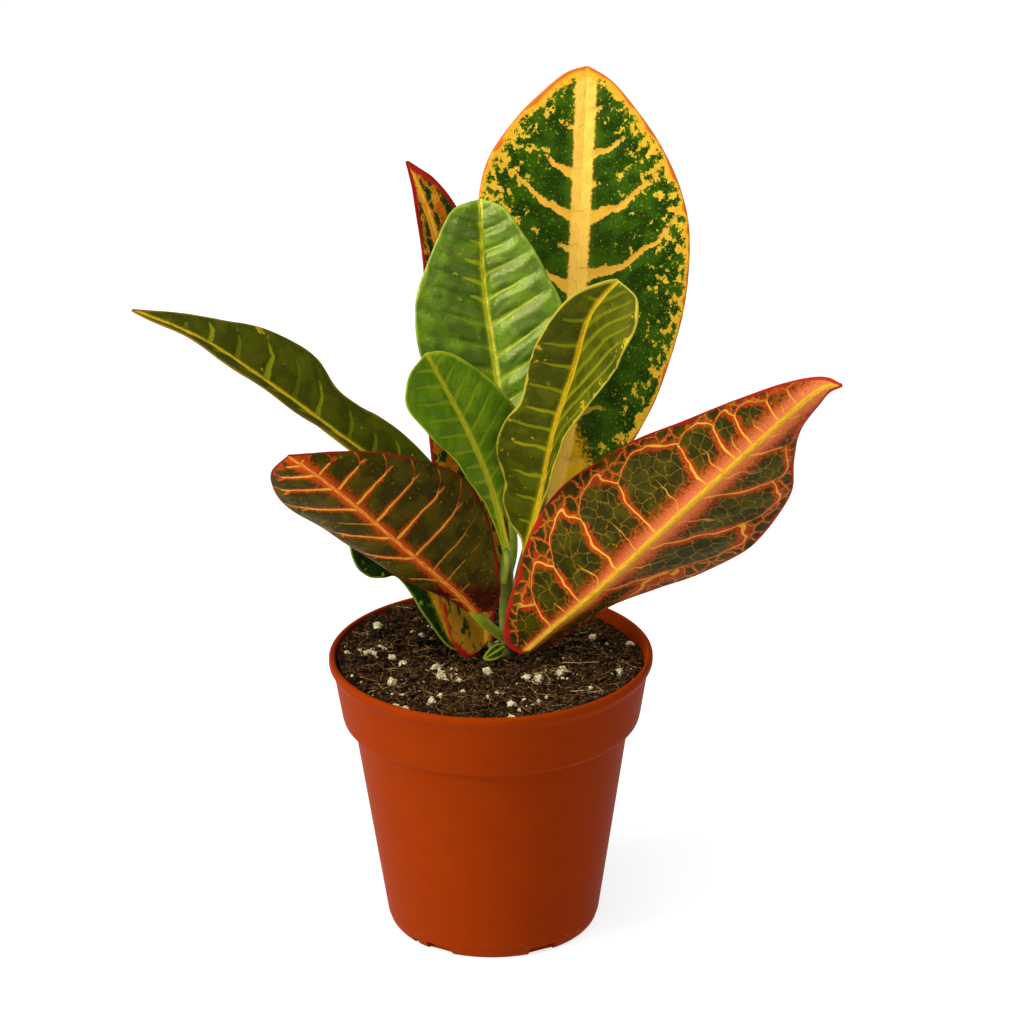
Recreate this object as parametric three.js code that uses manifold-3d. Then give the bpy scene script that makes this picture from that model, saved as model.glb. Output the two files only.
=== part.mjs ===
// A croton plant in a plastic nursery pot, in millimetres, +Z up.
// The origin is the centre of the pot's base, on the surface the pot stands on.
// +X is to the right and +Y is away from someone who faces the red leaf.
import * as THREE from 'three';
import { mergeVertices } from 'three/addons/utils/BufferGeometryUtils.js';
import Module from 'manifold-3d';

const wasm = await Module();
wasm.setup();

// Driving dimensions of the pot
const POT_HEIGHT = 97;
const RIM_RADIUS = 54;
const FOOT_RADIUS = 34.8;
const WALL = 1.2;
const RIM_DEPTH = 3.4;
const POT_SIDES = 40;
const CENTRE_PAD_RADIUS = 12.8;
const CHANNEL_RADIUS = 31.4;
const CHANNEL_RISE = 2.6;
const DRAIN_WIDTH = 9.6;
const DRAIN_HEIGHT = 3;
const DRAIN_COUNT = 6;
const FIRST_DRAIN_ANGLE = -32;
const NOTCH_ANGLE = -49;
const NOTCH_WIDTH = 2.4;
const NOTCH_HEIGHT = 2;

// Driving dimensions of the soil and the stem
const FIT = 0.3;
const SOIL_LEVEL = 92.6;
const SOIL_RINGS = 10;
const HEAP_RISE = 3.2;
const MOUND_RISE = 1.3;
const PERLITE_COUNT = 26;
const PERLITE_LEAST = 0.9;
const PERLITE_SPREAD = 0.8;
const STEM_X = 5.5;
const STEM_Y = 6.5;
const STEM_FOOT = 22;
const STEM_TOP = 124;
const STEM_RADIUS = 3.1;
const STEM_NARROWING = 0.75;
const SCAR_HEIGHTS = [94, 101, 109, 116];
const BUD_HEIGHT = 11;

// Driving dimensions that all leaves share
const BLADE_THICKNESS = 1;
const TIP_HALF_WIDTH = 0.5;
const MARGIN_THICKNESS = 0.7;
const STATION_STEP = 7.5;
const MOST_STATIONS = 16;
const FEWEST_STATIONS = 5;
const PETIOLE_STATIONS = 4;
const BASE_RUN = 7;
const KEEL_FADE = 0.75;
const STALK_SPREAD = 76;
const HALF_STEPS = [0, 0.22, 0.52, 0.8, 1];

const rad = THREE.MathUtils.degToRad;

// A closed mesh as a solid that can be joined or cut, and back again
function toSolid(geometry) {
  const bare = geometry.clone();
  bare.deleteAttribute('normal');
  bare.deleteAttribute('uv');
  const merged = mergeVertices(bare, 1e-4);
  return new wasm.Manifold(new wasm.Mesh({
    numProp: 3,
    vertProperties: new Float32Array(merged.attributes.position.array),
    triVerts: new Uint32Array(merged.index.array),
  }));
}

function toGeometry(solid) {
  const mesh = solid.getMesh();
  return meshGeometry(Array.from(mesh.vertProperties), Array.from(mesh.triVerts));
}

function meshGeometry(positions, triangles) {
  const geometry = new THREE.BufferGeometry();
  geometry.setAttribute('position', new THREE.Float32BufferAttribute(positions, 3));
  geometry.setIndex(triangles);
  geometry.computeVertexNormals();
  return geometry;
}

// A turned body that stands up along +Z
function turned(profile, sides) {
  const points = profile.map(([radius, height]) => new THREE.Vector2(radius, height));
  return new THREE.LatheGeometry(points, sides).rotateX(Math.PI / 2);
}

function mesh(name, geometry, colour, roughness) {
  const material = new THREE.MeshStandardMaterial({ color: colour, roughness, metalness: 0 });
  const node = new THREE.Mesh(geometry, material);
  node.name = name;
  return node;
}

// The outside of the pot from its foot to under its rim: a tapered body, a rounded
// shoulder, and a wider collar that the rim bead tops
const POT_OUTSIDE = [
  [FOOT_RADIUS - 1.1, 0],
  [FOOT_RADIUS, 1.4],
  [FOOT_RADIUS + 0.9, 4],
  [46, 73],
  [48.2, 73.5],
  [49.5, 74.8],
  [50, 77],
  [52.4, POT_HEIGHT - RIM_DEPTH - 1.8],
  [RIM_RADIUS - 0.6, POT_HEIGHT - RIM_DEPTH],
];

// The same outline a distance inwards, from the body's top to the collar's
function insideOf(distance) {
  return POT_OUTSIDE.slice(3, -1).map(([radius, height]) => [radius - distance, height + 0.8 * distance]);
}

function potGeometry() {
  const profile = [
    [0, 0],
    [CENTRE_PAD_RADIUS, 0],
    [CENTRE_PAD_RADIUS + 1.6, CHANNEL_RISE],
    [CHANNEL_RADIUS - 0.4, CHANNEL_RISE],
    [CHANNEL_RADIUS + 0.6, 0],
    ...POT_OUTSIDE,
    [RIM_RADIUS, POT_HEIGHT - RIM_DEPTH + 0.8],
    [RIM_RADIUS, POT_HEIGHT - 0.7],
    [RIM_RADIUS - 0.7, POT_HEIGHT],
    [RIM_RADIUS - 1.9, POT_HEIGHT],
    ...insideOf(WALL).reverse(),
    [FOOT_RADIUS - WALL + 0.2, WALL + 0.6],
    [CHANNEL_RADIUS + 1.4, WALL + 0.1],
    [CHANNEL_RADIUS, CHANNEL_RISE + WALL],
    [CENTRE_PAD_RADIUS + 1, CHANNEL_RISE + WALL],
    [CENTRE_PAD_RADIUS - 0.6, WALL],
    [0, WALL],
  ];
  let pot = toSolid(turned(profile, POT_SIDES));
  // Drain slots through the foot and the bottom of the wall, and one narrow mould notch
  const cut = (angle, width, height) => {
    const slot = new THREE.BoxGeometry(width, 8, height + 1);
    slot.translate(0, -(CHANNEL_RADIUS + 0.9 + 4), (height - 1) / 2);
    slot.rotateZ(rad(angle));
    pot = pot.subtract(toSolid(slot));
  };
  for (let i = 0; i < DRAIN_COUNT; i += 1) {
    cut(FIRST_DRAIN_ANGLE + i * 360 / DRAIN_COUNT, DRAIN_WIDTH, DRAIN_HEIGHT);
  }
  cut(NOTCH_ANGLE, NOTCH_WIDTH, NOTCH_HEIGHT);
  return toGeometry(pot);
}

// Height of the soil: low on the right, heaped to the rim on the left, with a mound
// at the foot of the plant and lumps all over
function soilHeight(x, y) {
  const heap = HEAP_RISE * THREE.MathUtils.smoothstep(0.3 * y - x, 8, 48);
  const mound = MOUND_RISE * Math.exp(-((x - 12) ** 2 + (y + 8) ** 2) / 60);
  const lumps = 0.55 * Math.sin(x / 3.1 + 0.7) * Math.cos(y / 3.7)
    + 0.45 * Math.sin(x / 6.3 - y / 4.9 + 2.1)
    + 0.4 * Math.cos(x / 2.2 + y / 2.6);
  return SOIL_LEVEL + heap + mound + lumps;
}

function soilGeometry() {
  // The filled part, whose side follows the inside of the pot
  const side = insideOf(WALL + FIT);
  const [topRadius] = side.pop();
  const foot = [FOOT_RADIUS - WALL - FIT, CHANNEL_RISE + WALL + FIT];
  const positions = [0, 0, foot[1]];
  const ring = (radius, height) => {
    for (let i = 0; i < POT_SIDES; i += 1) {
      const angle = i / POT_SIDES * 2 * Math.PI;
      const x = radius * Math.sin(angle);
      const y = radius * Math.cos(angle);
      positions.push(x, y, height === null ? soilHeight(x, y) : height);
    }
  };
  ring(...foot);
  side.forEach(([radius, height]) => ring(radius, height));
  for (let i = 0; i < SOIL_RINGS; i += 1) ring((topRadius - 0.3) * (1 - i / SOIL_RINGS), null);
  const rings = side.length + 1 + SOIL_RINGS;
  positions.push(0, 0, soilHeight(0, 0));
  const triangles = [];
  const at = (r, i) => 1 + r * POT_SIDES + i % POT_SIDES;
  for (let i = 0; i < POT_SIDES; i += 1) {
    triangles.push(0, at(0, i), at(0, i + 1));
    for (let r = 0; r < rings - 1; r += 1) {
      triangles.push(at(r, i), at(r + 1, i), at(r + 1, i + 1));
      triangles.push(at(r, i), at(r + 1, i + 1), at(r, i + 1));
    }
    triangles.push(at(rings - 1, i), 1 + rings * POT_SIDES, at(rings - 1, i + 1));
  }
  let soil = toSolid(meshGeometry(positions, triangles));
  // Perlite granules, set a third deep in the surface
  let seed = 7;
  const draw = () => {
    seed = (seed * 16807) % 2147483647;
    return seed / 2147483647;
  };
  for (let i = 0; i < PERLITE_COUNT; i += 1) {
    const angle = draw() * 2 * Math.PI;
    const reach = 12 + 33 * Math.sqrt(draw());
    const size = PERLITE_LEAST + PERLITE_SPREAD * draw();
    const x = reach * Math.sin(angle);
    const y = reach * Math.cos(angle);
    const granule = new THREE.OctahedronGeometry(size, 0);
    granule.rotateX(angle);
    granule.translate(x, y, soilHeight(x, y) + size * 0.2);
    soil = soil.add(toSolid(granule));
  }
  // The plain hole that the stem stands in
  const hole = new THREE.CylinderGeometry(STEM_RADIUS + FIT + 0.1, STEM_RADIUS + FIT + 0.1, 100, 16);
  hole.rotateX(Math.PI / 2);
  hole.translate(STEM_X, STEM_Y, STEM_FOOT - FIT + 50);
  return toGeometry(soil.subtract(toSolid(hole)));
}

// The short woody stem, with the ridges of old leaf scars, a green top and its end bud
function stemGeometry() {
  const profile = [[0, STEM_FOOT], [STEM_RADIUS, STEM_FOOT], [STEM_RADIUS, 90]];
  const [lowest] = SCAR_HEIGHTS;
  for (const scar of SCAR_HEIGHTS) {
    const radius = STEM_RADIUS - STEM_NARROWING * (scar - lowest) / (STEM_TOP - lowest);
    profile.push([radius - 0.15, scar - 1.6]);
    profile.push([radius, scar]);
    profile.push([radius - 0.2, scar + 1]);
  }
  profile.push([2.3, STEM_TOP], [1.7, STEM_TOP + 0.4 * BUD_HEIGHT], [0, STEM_TOP + BUD_HEIGHT]);
  return turned(profile, 12).translate(STEM_X, STEM_Y, 0);
}

// Each leaf: its spine from the stem to its tip, the length of its petiole, where its upper
// face looks along the blade, how far each half rises from flat and curls on to its margin
// (degrees, left then right), and each half's outline as points along and out from the midrib
const LEAVES = [
  {
    name: 'leaf_back_gold',
    colour: 0x35501a,
    spine: [[8, 10, 112], [13, 15.5, 129], [22, 26, 146.5], [28, 40, 174.2], [30, 54, 205.3], [32, 66, 240], [34, 76, 276.5]],
    petiole: 23,
    stalk: 1.7,
    face: [[0, -0.95, 0.3]],
    fold: [8, 10],
    curl: [-4, -6],
    left: [[0, 1.6], [15, 12], [35, 23], [60, 32], [88, 35.5], [112, 34.5], [127, 31.5], [141, 22.5], [150, 14], [156, 7]],
    right: [[0, 1.6], [15, 12], [35, 22], [55, 30], [78, 36], [102, 37], [118, 33.5], [133, 26], [145, 17], [154, 8.5]],
  },
  {
    name: 'leaf_back_orange',
    colour: 0xb06a1c,
    spine: [[2.5, 4.6, 97.2], [-0.6, 3.2, 98.4], [-2, 8, 112], [-3.3, 17, 138], [-6.5, 26, 166.2], [-12.3, 34, 200], [-17.5, 38, 232], [-26, 40, 256]],
    petiole: 5,
    stalk: 1.3,
    face: [[0, -1, 0.1]],
    fold: [20, -10],
    curl: [0, 0],
    left: [[0, 4], [1, 9], [8, 13.5], [25, 15.5], [45, 15], [73, 14], [100, 11], [124, 6.5], [144, 4.5], [157, 1.6]],
    right: [[0, 2], [8, 3], [16, 4.5], [32, 9.5], [60, 13], [95, 14.5], [125, 12.5], [143, 10], [155, 6.5], [161, 3]],
  },
  {
    name: 'leaf_upper_green',
    colour: 0x4f8a16,
    spine: [[6, 10.4, 119], [8, 14, 131], [5, 19, 155], [3, 26, 184], [-1, 32, 214], [-2, 36, 244]],
    petiole: 20,
    stalk: 1.4,
    face: [[-0.05, -0.95, 0.3]],
    fold: [30, 25],
    curl: [-10, -10],
    left: [[0, 1.4], [15, 8], [35, 17], [60, 25.5], [76, 25], [88, 20], [100, 14], [106.5, 9]],
    right: [[0, 1.4], [15, 8], [35, 18], [55, 25], [72, 27], [88, 21], [98, 15], [106, 8.5]],
  },
  {
    name: 'leaf_small_green',
    colour: 0x5f9a1c,
    spine: [[4.5, 2.4, 121], [5.4, 3.1, 132], [0, 3.2, 155.6], [-8, -4.5, 180.4], [-20, -11, 207.7]],
    petiole: 12,
    stalk: 1.3,
    face: [[0.1, -0.9, 0.4]],
    fold: [40, 10],
    curl: [0, -10],
    left: [[0, 1.4], [14, 3.5], [25, 6.5], [37, 9.5], [48, 12], [59, 16.5], [69, 19], [75, 19.2], [79, 16.5], [82, 10.5]],
    right: [[0, 1.4], [14, 2], [30, 8.5], [44, 17], [56, 16], [66, 12.5], [74, 9], [79, 5]],
  },
  {
    name: 'leaf_middle_olive',
    colour: 0x5d6a14,
    spine: [[9, 4.2, 116], [13, 3.2, 133], [18, -3.6, 156.3], [22, -13, 181.3], [28, -22, 205.6], [33, -29, 227], [42, -34, 241]],
    petiole: 14,
    stalk: 1.4,
    face: [[-0.5, -0.8, 0.3], [-0.3, -0.85, 0.4], [0.1, -0.9, 0.3]],
    fold: [20, 50],
    curl: [0, 0],
    left: [[0, 1.4], [6, 3.5], [11, 8.5], [19, 12.5], [26, 13], [33, 15.7], [43, 18.2], [53, 17], [63, 13.7], [74, 14.2], [85, 14.8], [96, 13.6], [108, 9.4], [119, 3.7]],
    right: [[0, 1.4], [12, 1.4], [25, 2.6], [40, 7], [55, 9.5], [68, 12.5], [82, 16], [96, 20], [109, 23.8], [118, 21.5], [123, 16.5], [126, 10.5]],
  },
  {
    name: 'leaf_right_red',
    colour: 0x8c4a22,
    spine: [[7.5, 3.7, 99.8], [11, -2.8, 98.6], [14.4, -5.2, 101.4], [21.5, -7.6, 109], [36, -12.5, 124.5], [62, -21, 154.4], [88, -29.5, 184], [105, -36, 202.8], [113, -40, 206.8]],
    petiole: 10,
    stalk: 1.6,
    face: [[0.1, -0.9, 0.4], [-0.2, -0.85, 0.5], [-0.2, -0.85, 0.5]],
    fold: [5, -55],
    curl: [0, 0],
    left: [[-3, 1], [-4, 7], [2, 13], [11, 18.5], [24, 26], [38, 31.5], [52, 33.2], [66, 31.2], [81, 28], [98, 22], [115, 16.2], [131, 10.4], [142, 5.5]],
    right: [[0, 2.5], [8, 6.5], [20, 9], [32, 11.5], [44, 18.5], [56, 27], [71, 30.6], [88, 30.3], [103, 25.5], [115, 15.5], [126, 8.4], [140, 4.6]],
  },
  {
    name: 'leaf_left_bronze',
    colour: 0x5a4016,
    spine: [[4.2, 2.1, 101.2], [-4, -3, 111], [-10, -6, 120], [-25, -12, 137], [-43, -18, 157], [-55, -21, 169], [-65, -22, 177]],
    petiole: 15,
    stalk: 1.7,
    face: [[0.1, -0.85, 0.5]],
    fold: [-35, 0],
    curl: [-35, 10],
    left: [[0, 1.4], [9, 4.5], [19, 7.8], [33, 12.5], [45, 14.3], [57, 16.5], [70, 18.9], [82, 18], [88, 14.5], [91, 9]],
    right: [[0, 1.5], [-3, 4.5], [-1, 10], [7, 15.8], [17, 24], [29, 29.3], [39, 30.3], [52, 26.1], [64, 20.4], [75, 12.8], [85, 5]],
  },
  {
    name: 'leaf_far_left',
    colour: 0x55600f,
    spine: [[1.5, 6.6, 121], [-6, 6, 138], [-21, 4, 151], [-45, 1, 171], [-67, -1, 190], [-92, -2, 209], [-115, -4, 221]],
    petiole: 22,
    stalk: 1.4,
    face: [[0.45, -0.35, 0.75]],
    fold: [34, 15],
    curl: [0, 0],
    left: [[0, 1.4], [15, 6], [32, 9], [52, 10], [64, 12], [80, 18], [95, 18.5], [106, 14], [118, 8], [128, 3.5]],
    right: [[0, 1.4], [12, 10], [26, 15], [42, 16], [52, 15], [62, 15], [72, 19.5], [81, 20], [93, 17], [106, 11], [122, 5]],
  },
  {
    name: 'leaf_low_left',
    colour: 0x2f4a14,
    spine: [[2.2, 8.8, 99], [-6, 6, 98.2], [-12, 4.5, 99.8], [-16.9, 8.5, 109.6], [-20.5, 12, 116.4], [-31, 15, 132], [-45, 14, 148]],
    petiole: 7,
    stalk: 1.3,
    face: [[0.1, -0.9, 0.4]],
    fold: [10, -15],
    curl: [0, 0],
    left: [[0, 3], [6, 6.5], [13, 6.6], [22, 7.5], [33, 7.2], [38, 8.6], [40, 12.2], [44, 15.8], [52, 16.8], [60, 12.5]],
    right: [[0, 1.4], [10, 6], [25, 10], [40, 13], [52, 12], [62, 8]],
  },
  {
    name: 'leaf_low_front',
    colour: 0x38560f,
    spine: [[5.4, 2.95, 98], [4, 0.4, 98.4], [1, -1.8, 97.4], [-2.4, -3, 95.8]],
    petiole: 2.5,
    stalk: 0.8,
    face: [[-0.2, -0.8, 0.5]],
    fold: [-10, 20],
    curl: [0, 0],
    left: [[0, 1], [3, 2.4], [5.5, 2.2], [7.6, 1.2]],
    right: [[0, 1], [2, 2], [4.5, 2], [7, 1.2]],
  },
];

// The spine as a curve. A frame is its place at a distance past the petiole, with its
// directions: along it, out to the blade's right, and the way the upper face looks.
function leafSpine(leaf) {
  const curve = new THREE.CatmullRomCurve3(
    leaf.spine.map((p) => new THREE.Vector3(...p)), false, 'catmullrom', 0.5);
  curve.arcLengthDivisions = 400;
  const total = curve.getLength();
  const blade = total - leaf.petiole;
  const faces = leaf.face.map((f) => new THREE.Vector3(...f).normalize());
  const frame = (distance) => {
    const u = (distance + leaf.petiole) / total;
    const along = curve.getTangentAt(u);
    const turn = THREE.MathUtils.clamp(distance / blade, 0, 1) * (faces.length - 1);
    const first = Math.floor(turn);
    const second = Math.min(first + 1, faces.length - 1);
    const face = faces[first].clone().lerp(faces[second], turn - first);
    face.addScaledVector(along, -face.dot(along)).normalize();
    return { place: curve.getPointAt(u), along, face, right: along.clone().cross(face) };
  };
  // The blade's first stretch is straight, and it goes straight on past both its ends
  const bladeFrame = (distance) => {
    const held = THREE.MathUtils.clamp(distance, Math.min(BASE_RUN, blade / 4), blade);
    const base = frame(held);
    base.place.addScaledVector(base.along, distance - held);
    return base;
  };
  return { blade, frame, bladeFrame };
}

// One half of the blade: its side, its angles and its margin
function leafHalf(leaf, blade, index) {
  const points = [...[leaf.left, leaf.right][index], [blade, TIP_HALF_WIDTH]];
  return {
    side: index === 0 ? -1 : 1,
    fold: rad(leaf.fold[index]),
    bend: rad(leaf.curl[index]) + 1e-6,
    margin: new THREE.SplineCurve(points.map(([along, out]) => new THREE.Vector2(along, out))),
  };
}

// The blade's middle surface on the rib at a share of its length, and its normal out of the
// upper face, at a reach of 0 on the midrib to 1 on the margin. The half leaves the midrib
// at its fold angle and bends evenly, so its section is an arc.
function bladePoint(spine, half, share, reach) {
  const margin = half.margin.getPoint(share);
  const base = spine.bladeFrame(THREE.MathUtils.lerp(spine.blade * share, margin.x, reach));
  const angle = half.fold + half.bend * reach;
  const across = margin.y * (Math.sin(angle) - Math.sin(half.fold)) / half.bend;
  const rise = margin.y * (Math.cos(half.fold) - Math.cos(angle)) / half.bend;
  const tilt = reach > 0 ? angle : 0;
  const place = base.place
    .addScaledVector(base.right, half.side * across)
    .addScaledVector(base.face, rise);
  const normal = base.face.clone().multiplyScalar(Math.cos(tilt))
    .addScaledVector(base.right, -half.side * Math.sin(tilt));
  return { place, normal };
}

function leafGeometry(leaf) {
  const spine = leafSpine(leaf);
  const halves = [leafHalf(leaf, spine.blade, 0), leafHalf(leaf, spine.blade, 1)];
  const stations = THREE.MathUtils.clamp(
    Math.round(spine.blade / STATION_STEP), FEWEST_STATIONS, MOST_STATIONS);
  const across = [...HALF_STEPS.slice(1).reverse().map((u) => -u), ...HALF_STEPS];
  const positions = [];
  const ring = (upper, lower) => {
    for (const p of [...upper, ...lower]) positions.push(p.x, p.y, p.z);
  };
  // The petiole: a round stalk
  for (let i = 0; i < PETIOLE_STATIONS; i += 1) {
    const base = spine.frame(-leaf.petiole * (1 - i / PETIOLE_STATIONS));
    const section = (way) => across.map((u) => base.place.clone()
      .addScaledVector(base.right, leaf.stalk * Math.sin(u * rad(STALK_SPREAD)))
      .addScaledVector(base.face, way * leaf.stalk * Math.cos(u * rad(STALK_SPREAD))));
    ring(section(1), section(-1));
  }
  // The blade: two faces a thickness apart, with a keel under the midrib
  for (let k = 0; k <= stations; k += 1) {
    const share = k / stations;
    const upper = [];
    const lower = [];
    for (const u of across) {
      const reach = Math.abs(u);
      const { place, normal } = bladePoint(spine, halves[u < 0 ? 0 : 1], share, reach);
      const thick = THREE.MathUtils.lerp(BLADE_THICKNESS, MARGIN_THICKNESS, reach) / 2;
      const keel = reach > 0 ? 0 : leaf.stalk * (1 - KEEL_FADE * share);
      upper.push(place.clone().addScaledVector(normal, thick));
      lower.push(place.clone().addScaledVector(normal, -thick - keel));
    }
    ring(upper, lower);
  }
  // Triangles alike on both faces, then the margins and the two ends
  const count = across.length;
  const last = count - 1;
  const end = PETIOLE_STATIONS + stations;
  const top = (r, i) => r * 2 * count + i;
  const under = (r, i) => top(r, i) + count;
  const triangles = [];
  for (let r = 0; r < end; r += 1) {
    for (let i = 0; i < last; i += 1) {
      triangles.push(top(r, i), top(r, i + 1), top(r + 1, i + 1));
      triangles.push(top(r, i), top(r + 1, i + 1), top(r + 1, i));
      triangles.push(under(r, i), under(r + 1, i + 1), under(r, i + 1));
      triangles.push(under(r, i), under(r + 1, i), under(r + 1, i + 1));
    }
    triangles.push(top(r, 0), top(r + 1, 0), under(r + 1, 0));
    triangles.push(top(r, 0), under(r + 1, 0), under(r, 0));
    triangles.push(top(r, last), under(r, last), under(r + 1, last));
    triangles.push(top(r, last), under(r + 1, last), top(r + 1, last));
  }
  for (let i = 0; i < last; i += 1) {
    triangles.push(top(0, i), under(0, i + 1), top(0, i + 1));
    triangles.push(top(0, i), under(0, i), under(0, i + 1));
    triangles.push(top(end, i), top(end, i + 1), under(end, i + 1));
    triangles.push(top(end, i), under(end, i + 1), under(end, i));
  }
  return meshGeometry(positions, triangles);
}

const plant = new THREE.Group();
plant.add(mesh('pot', potGeometry(), 0xa5400c, 0.45));
plant.add(mesh('soil', soilGeometry(), 0x2b1c12, 0.95));
plant.add(mesh('stem', stemGeometry(), 0x7c7a3c, 0.7));
for (const leaf of LEAVES) plant.add(mesh(leaf.name, leafGeometry(leaf), leaf.colour, 0.4));

export default plant;
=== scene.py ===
import math
import random

import bpy
import numpy as np
from mathutils import Matrix, Vector, noise


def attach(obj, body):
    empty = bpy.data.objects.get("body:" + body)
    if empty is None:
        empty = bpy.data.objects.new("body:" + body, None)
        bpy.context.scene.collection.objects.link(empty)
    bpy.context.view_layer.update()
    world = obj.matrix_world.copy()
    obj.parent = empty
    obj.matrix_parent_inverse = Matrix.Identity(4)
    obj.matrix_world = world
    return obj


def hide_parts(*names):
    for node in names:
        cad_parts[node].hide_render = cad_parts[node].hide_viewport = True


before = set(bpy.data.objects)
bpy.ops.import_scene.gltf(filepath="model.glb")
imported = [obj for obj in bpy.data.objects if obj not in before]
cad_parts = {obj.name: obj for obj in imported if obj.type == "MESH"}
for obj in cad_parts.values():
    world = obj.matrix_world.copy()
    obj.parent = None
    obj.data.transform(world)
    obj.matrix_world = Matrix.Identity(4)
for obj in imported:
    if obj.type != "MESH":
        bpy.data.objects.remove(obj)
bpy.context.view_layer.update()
bpy.ops.object.select_all(action="DESELECT")

# The camera stands 1.8 m from the pot and looks down on it through a long lens, tipped
# half a degree, so that the pot and every leaf fall where the photograph has them.
CAMERA_PLACE = (0.00751, -1.6431, 0.83199)
LOOK_DOWN, TIP = 22.62, 0.55
LENS, FILM_WIDTH = 189.84, 36
bpy.ops.object.camera_add(location=CAMERA_PLACE)
camera = bpy.context.object
camera.rotation_mode = "ZYX"
camera.rotation_euler = (math.radians(90 - LOOK_DOWN), 0, math.radians(-TIP))
camera.data.lens = LENS
camera.data.sensor_width = FILM_WIDTH
camera.data.clip_end = 20
bpy.context.scene.camera = camera
bpy.context.scene.view_settings.view_transform = "Standard"

# A plain white floor under soft studio light: a tall softbox on the left, a wide one
# overhead in front, and a dim even surround. The floor glows a little, so that it is white.
FLOOR_SIDE = 20
FLOOR_GLOW = 0.78
SURROUND = 0.22
LIGHT_AIM = (0, 0, 0.13)
LIGHTS = (
    # place in m, width and height in m, power in W
    ((-1.7, -0.85, 0.95), (1.1, 1.3), 52),
    ((0.0, -0.45, 2.1), (1.6, 1.6), 36),
)


def linear(code):
    """An sRGB hex colour as linear red, green, blue and alpha."""
    parts = [int(code[i:i + 2], 16) / 255 for i in (1, 3, 5)]
    return [c / 12.92 if c <= 0.04045 else ((c + 0.055) / 1.055) ** 2.4 for c in parts] + [1]


def feed(node, inputs):
    """Feeds a node's inputs, by their names or in their order, with sockets or plain values."""
    for key, value in inputs.items() if isinstance(inputs, dict) else enumerate(inputs):
        if isinstance(value, bpy.types.NodeSocket):
            node.id_data.links.new(value, node.inputs[key])
        else:
            node.inputs[key].default_value = value


def new_material(name):
    """A new material, its surface shader, and the function that adds a node to it."""
    material = bpy.data.materials.new(name)
    material.use_nodes = True
    nodes = material.node_tree.nodes

    def add(kind, inputs=(), out=0, **settings):
        """Adds a node with its settings and links, and gives one of its outputs. A kind in
        capitals is the operation of a Math node."""
        if kind.isupper():
            kind, settings["operation"] = "Math", kind
        node = nodes.new("ShaderNode" + kind)
        for key, value in settings.items():
            setattr(node, key, value)
        feed(node, inputs)
        return node.outputs[out]

    return material, nodes["Principled BSDF"], add


bpy.ops.mesh.primitive_plane_add(size=FLOOR_SIDE)
floor = bpy.context.object
floor.name = "studio_floor"
paper, shader, _ = new_material("studio_paper")
feed(shader, {"Base Color": linear("#a0a0a0"), "Roughness": 1, "Specular IOR Level": 0})
feed(shader, {"Emission Color": linear("#ffffff"), "Emission Strength": FLOOR_GLOW})
floor.data.materials.append(paper)

for place, (wide, high), power in LIGHTS:
    bpy.ops.object.light_add(type="AREA", location=place)
    lamp = bpy.context.object
    lamp.data.shape = "RECTANGLE"
    lamp.data.size, lamp.data.size_y = wide, high
    lamp.data.energy = power
    lamp.rotation_euler = (Vector(LIGHT_AIM) - Vector(place)).to_track_quat("-Z", "Y").to_euler()
world = bpy.data.worlds.new("studio_surround")
bpy.context.scene.world = world
world.use_nodes = True
feed(world.node_tree.nodes["Background"], {"Color": (1, 1, 1, 1), "Strength": SURROUND})

# The pot: injection-moulded polypropylene, terracotta coloured all through, thin walled.
# One outline is turned round the axis. The drain slots are then cut through its foot.
MM = 0.001
WELD = 1e-6
POT_HEIGHT = 97
RIM_RADIUS = 54
FOOT_RADIUS = 34.8
WALL = 1.2
RIM_TOP = POT_HEIGHT
RIM_UNDER = POT_HEIGHT - 3.4
POT_OUTSIDE = [
    (FOOT_RADIUS - 1.1, 0), (FOOT_RADIUS, 1.4), (FOOT_RADIUS + 0.9, 4), (46, 73),
    (48.2, 73.5), (49.5, 74.8), (50, 77), (52.4, 91.8), (RIM_RADIUS - 0.6, RIM_UNDER),
]
POT_INSIDE = [(r - WALL, h + 0.8 * WALL) for r, h in POT_OUTSIDE[3:-1]]
POT_OUTLINE = [
    (0, 0), (12.8, 0), (14.4, 2.6), (31, 2.6), (32, 0), *POT_OUTSIDE,
    (RIM_RADIUS, RIM_UNDER + 0.8), (RIM_RADIUS, RIM_TOP - 0.7), (RIM_RADIUS - 0.7, RIM_TOP),
    (RIM_RADIUS - 1.9, RIM_TOP), *POT_INSIDE[::-1], (FOOT_RADIUS - 1, 1.8), (32.8, 1.3),
    (31.4, 3.8), (13.8, 3.8), (12.2, 1.2), (0, 1.2),
]
# Each cut through the foot is its angle, and its width, depth and height. It starts at the
# radius CUT_FROM, in the channel, and reaches 1 mm below the floor
CUT_FROM = 32.3
DRAIN_SLOTS = [(-32 + 60 * i, (9.6, 8, 4)) for i in range(6)]
NOTCH = (-49, (2.4, 8, 3))


ARC_SHARE = 0.42  # the most of a side that one arc takes up


def rounded(points, radius, steps=4):
    """The same outline with every corner but its ends turned into a short arc."""
    made = [points[0]]
    for before, corner, after in zip(points, points[1:], points[2:]):
        corner = Vector(corner)
        ends = []
        for other in (Vector(before), Vector(after)):
            reach = min(radius, ARC_SHARE * (other - corner).length)
            ends.append(corner + (other - corner).normalized() * reach)
        for i in range(steps + 1):
            t = i / steps
            made.append(tuple(ends[0] * (1 - t) ** 2 + corner * 2 * t * (1 - t) + ends[1] * t ** 2))
    return made + [points[-1]]


def only(piece):
    """Makes piece the only selected object, and the active one."""
    bpy.ops.object.select_all(action="DESELECT")
    piece.select_set(True)
    bpy.context.view_layer.objects.active = piece


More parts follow.
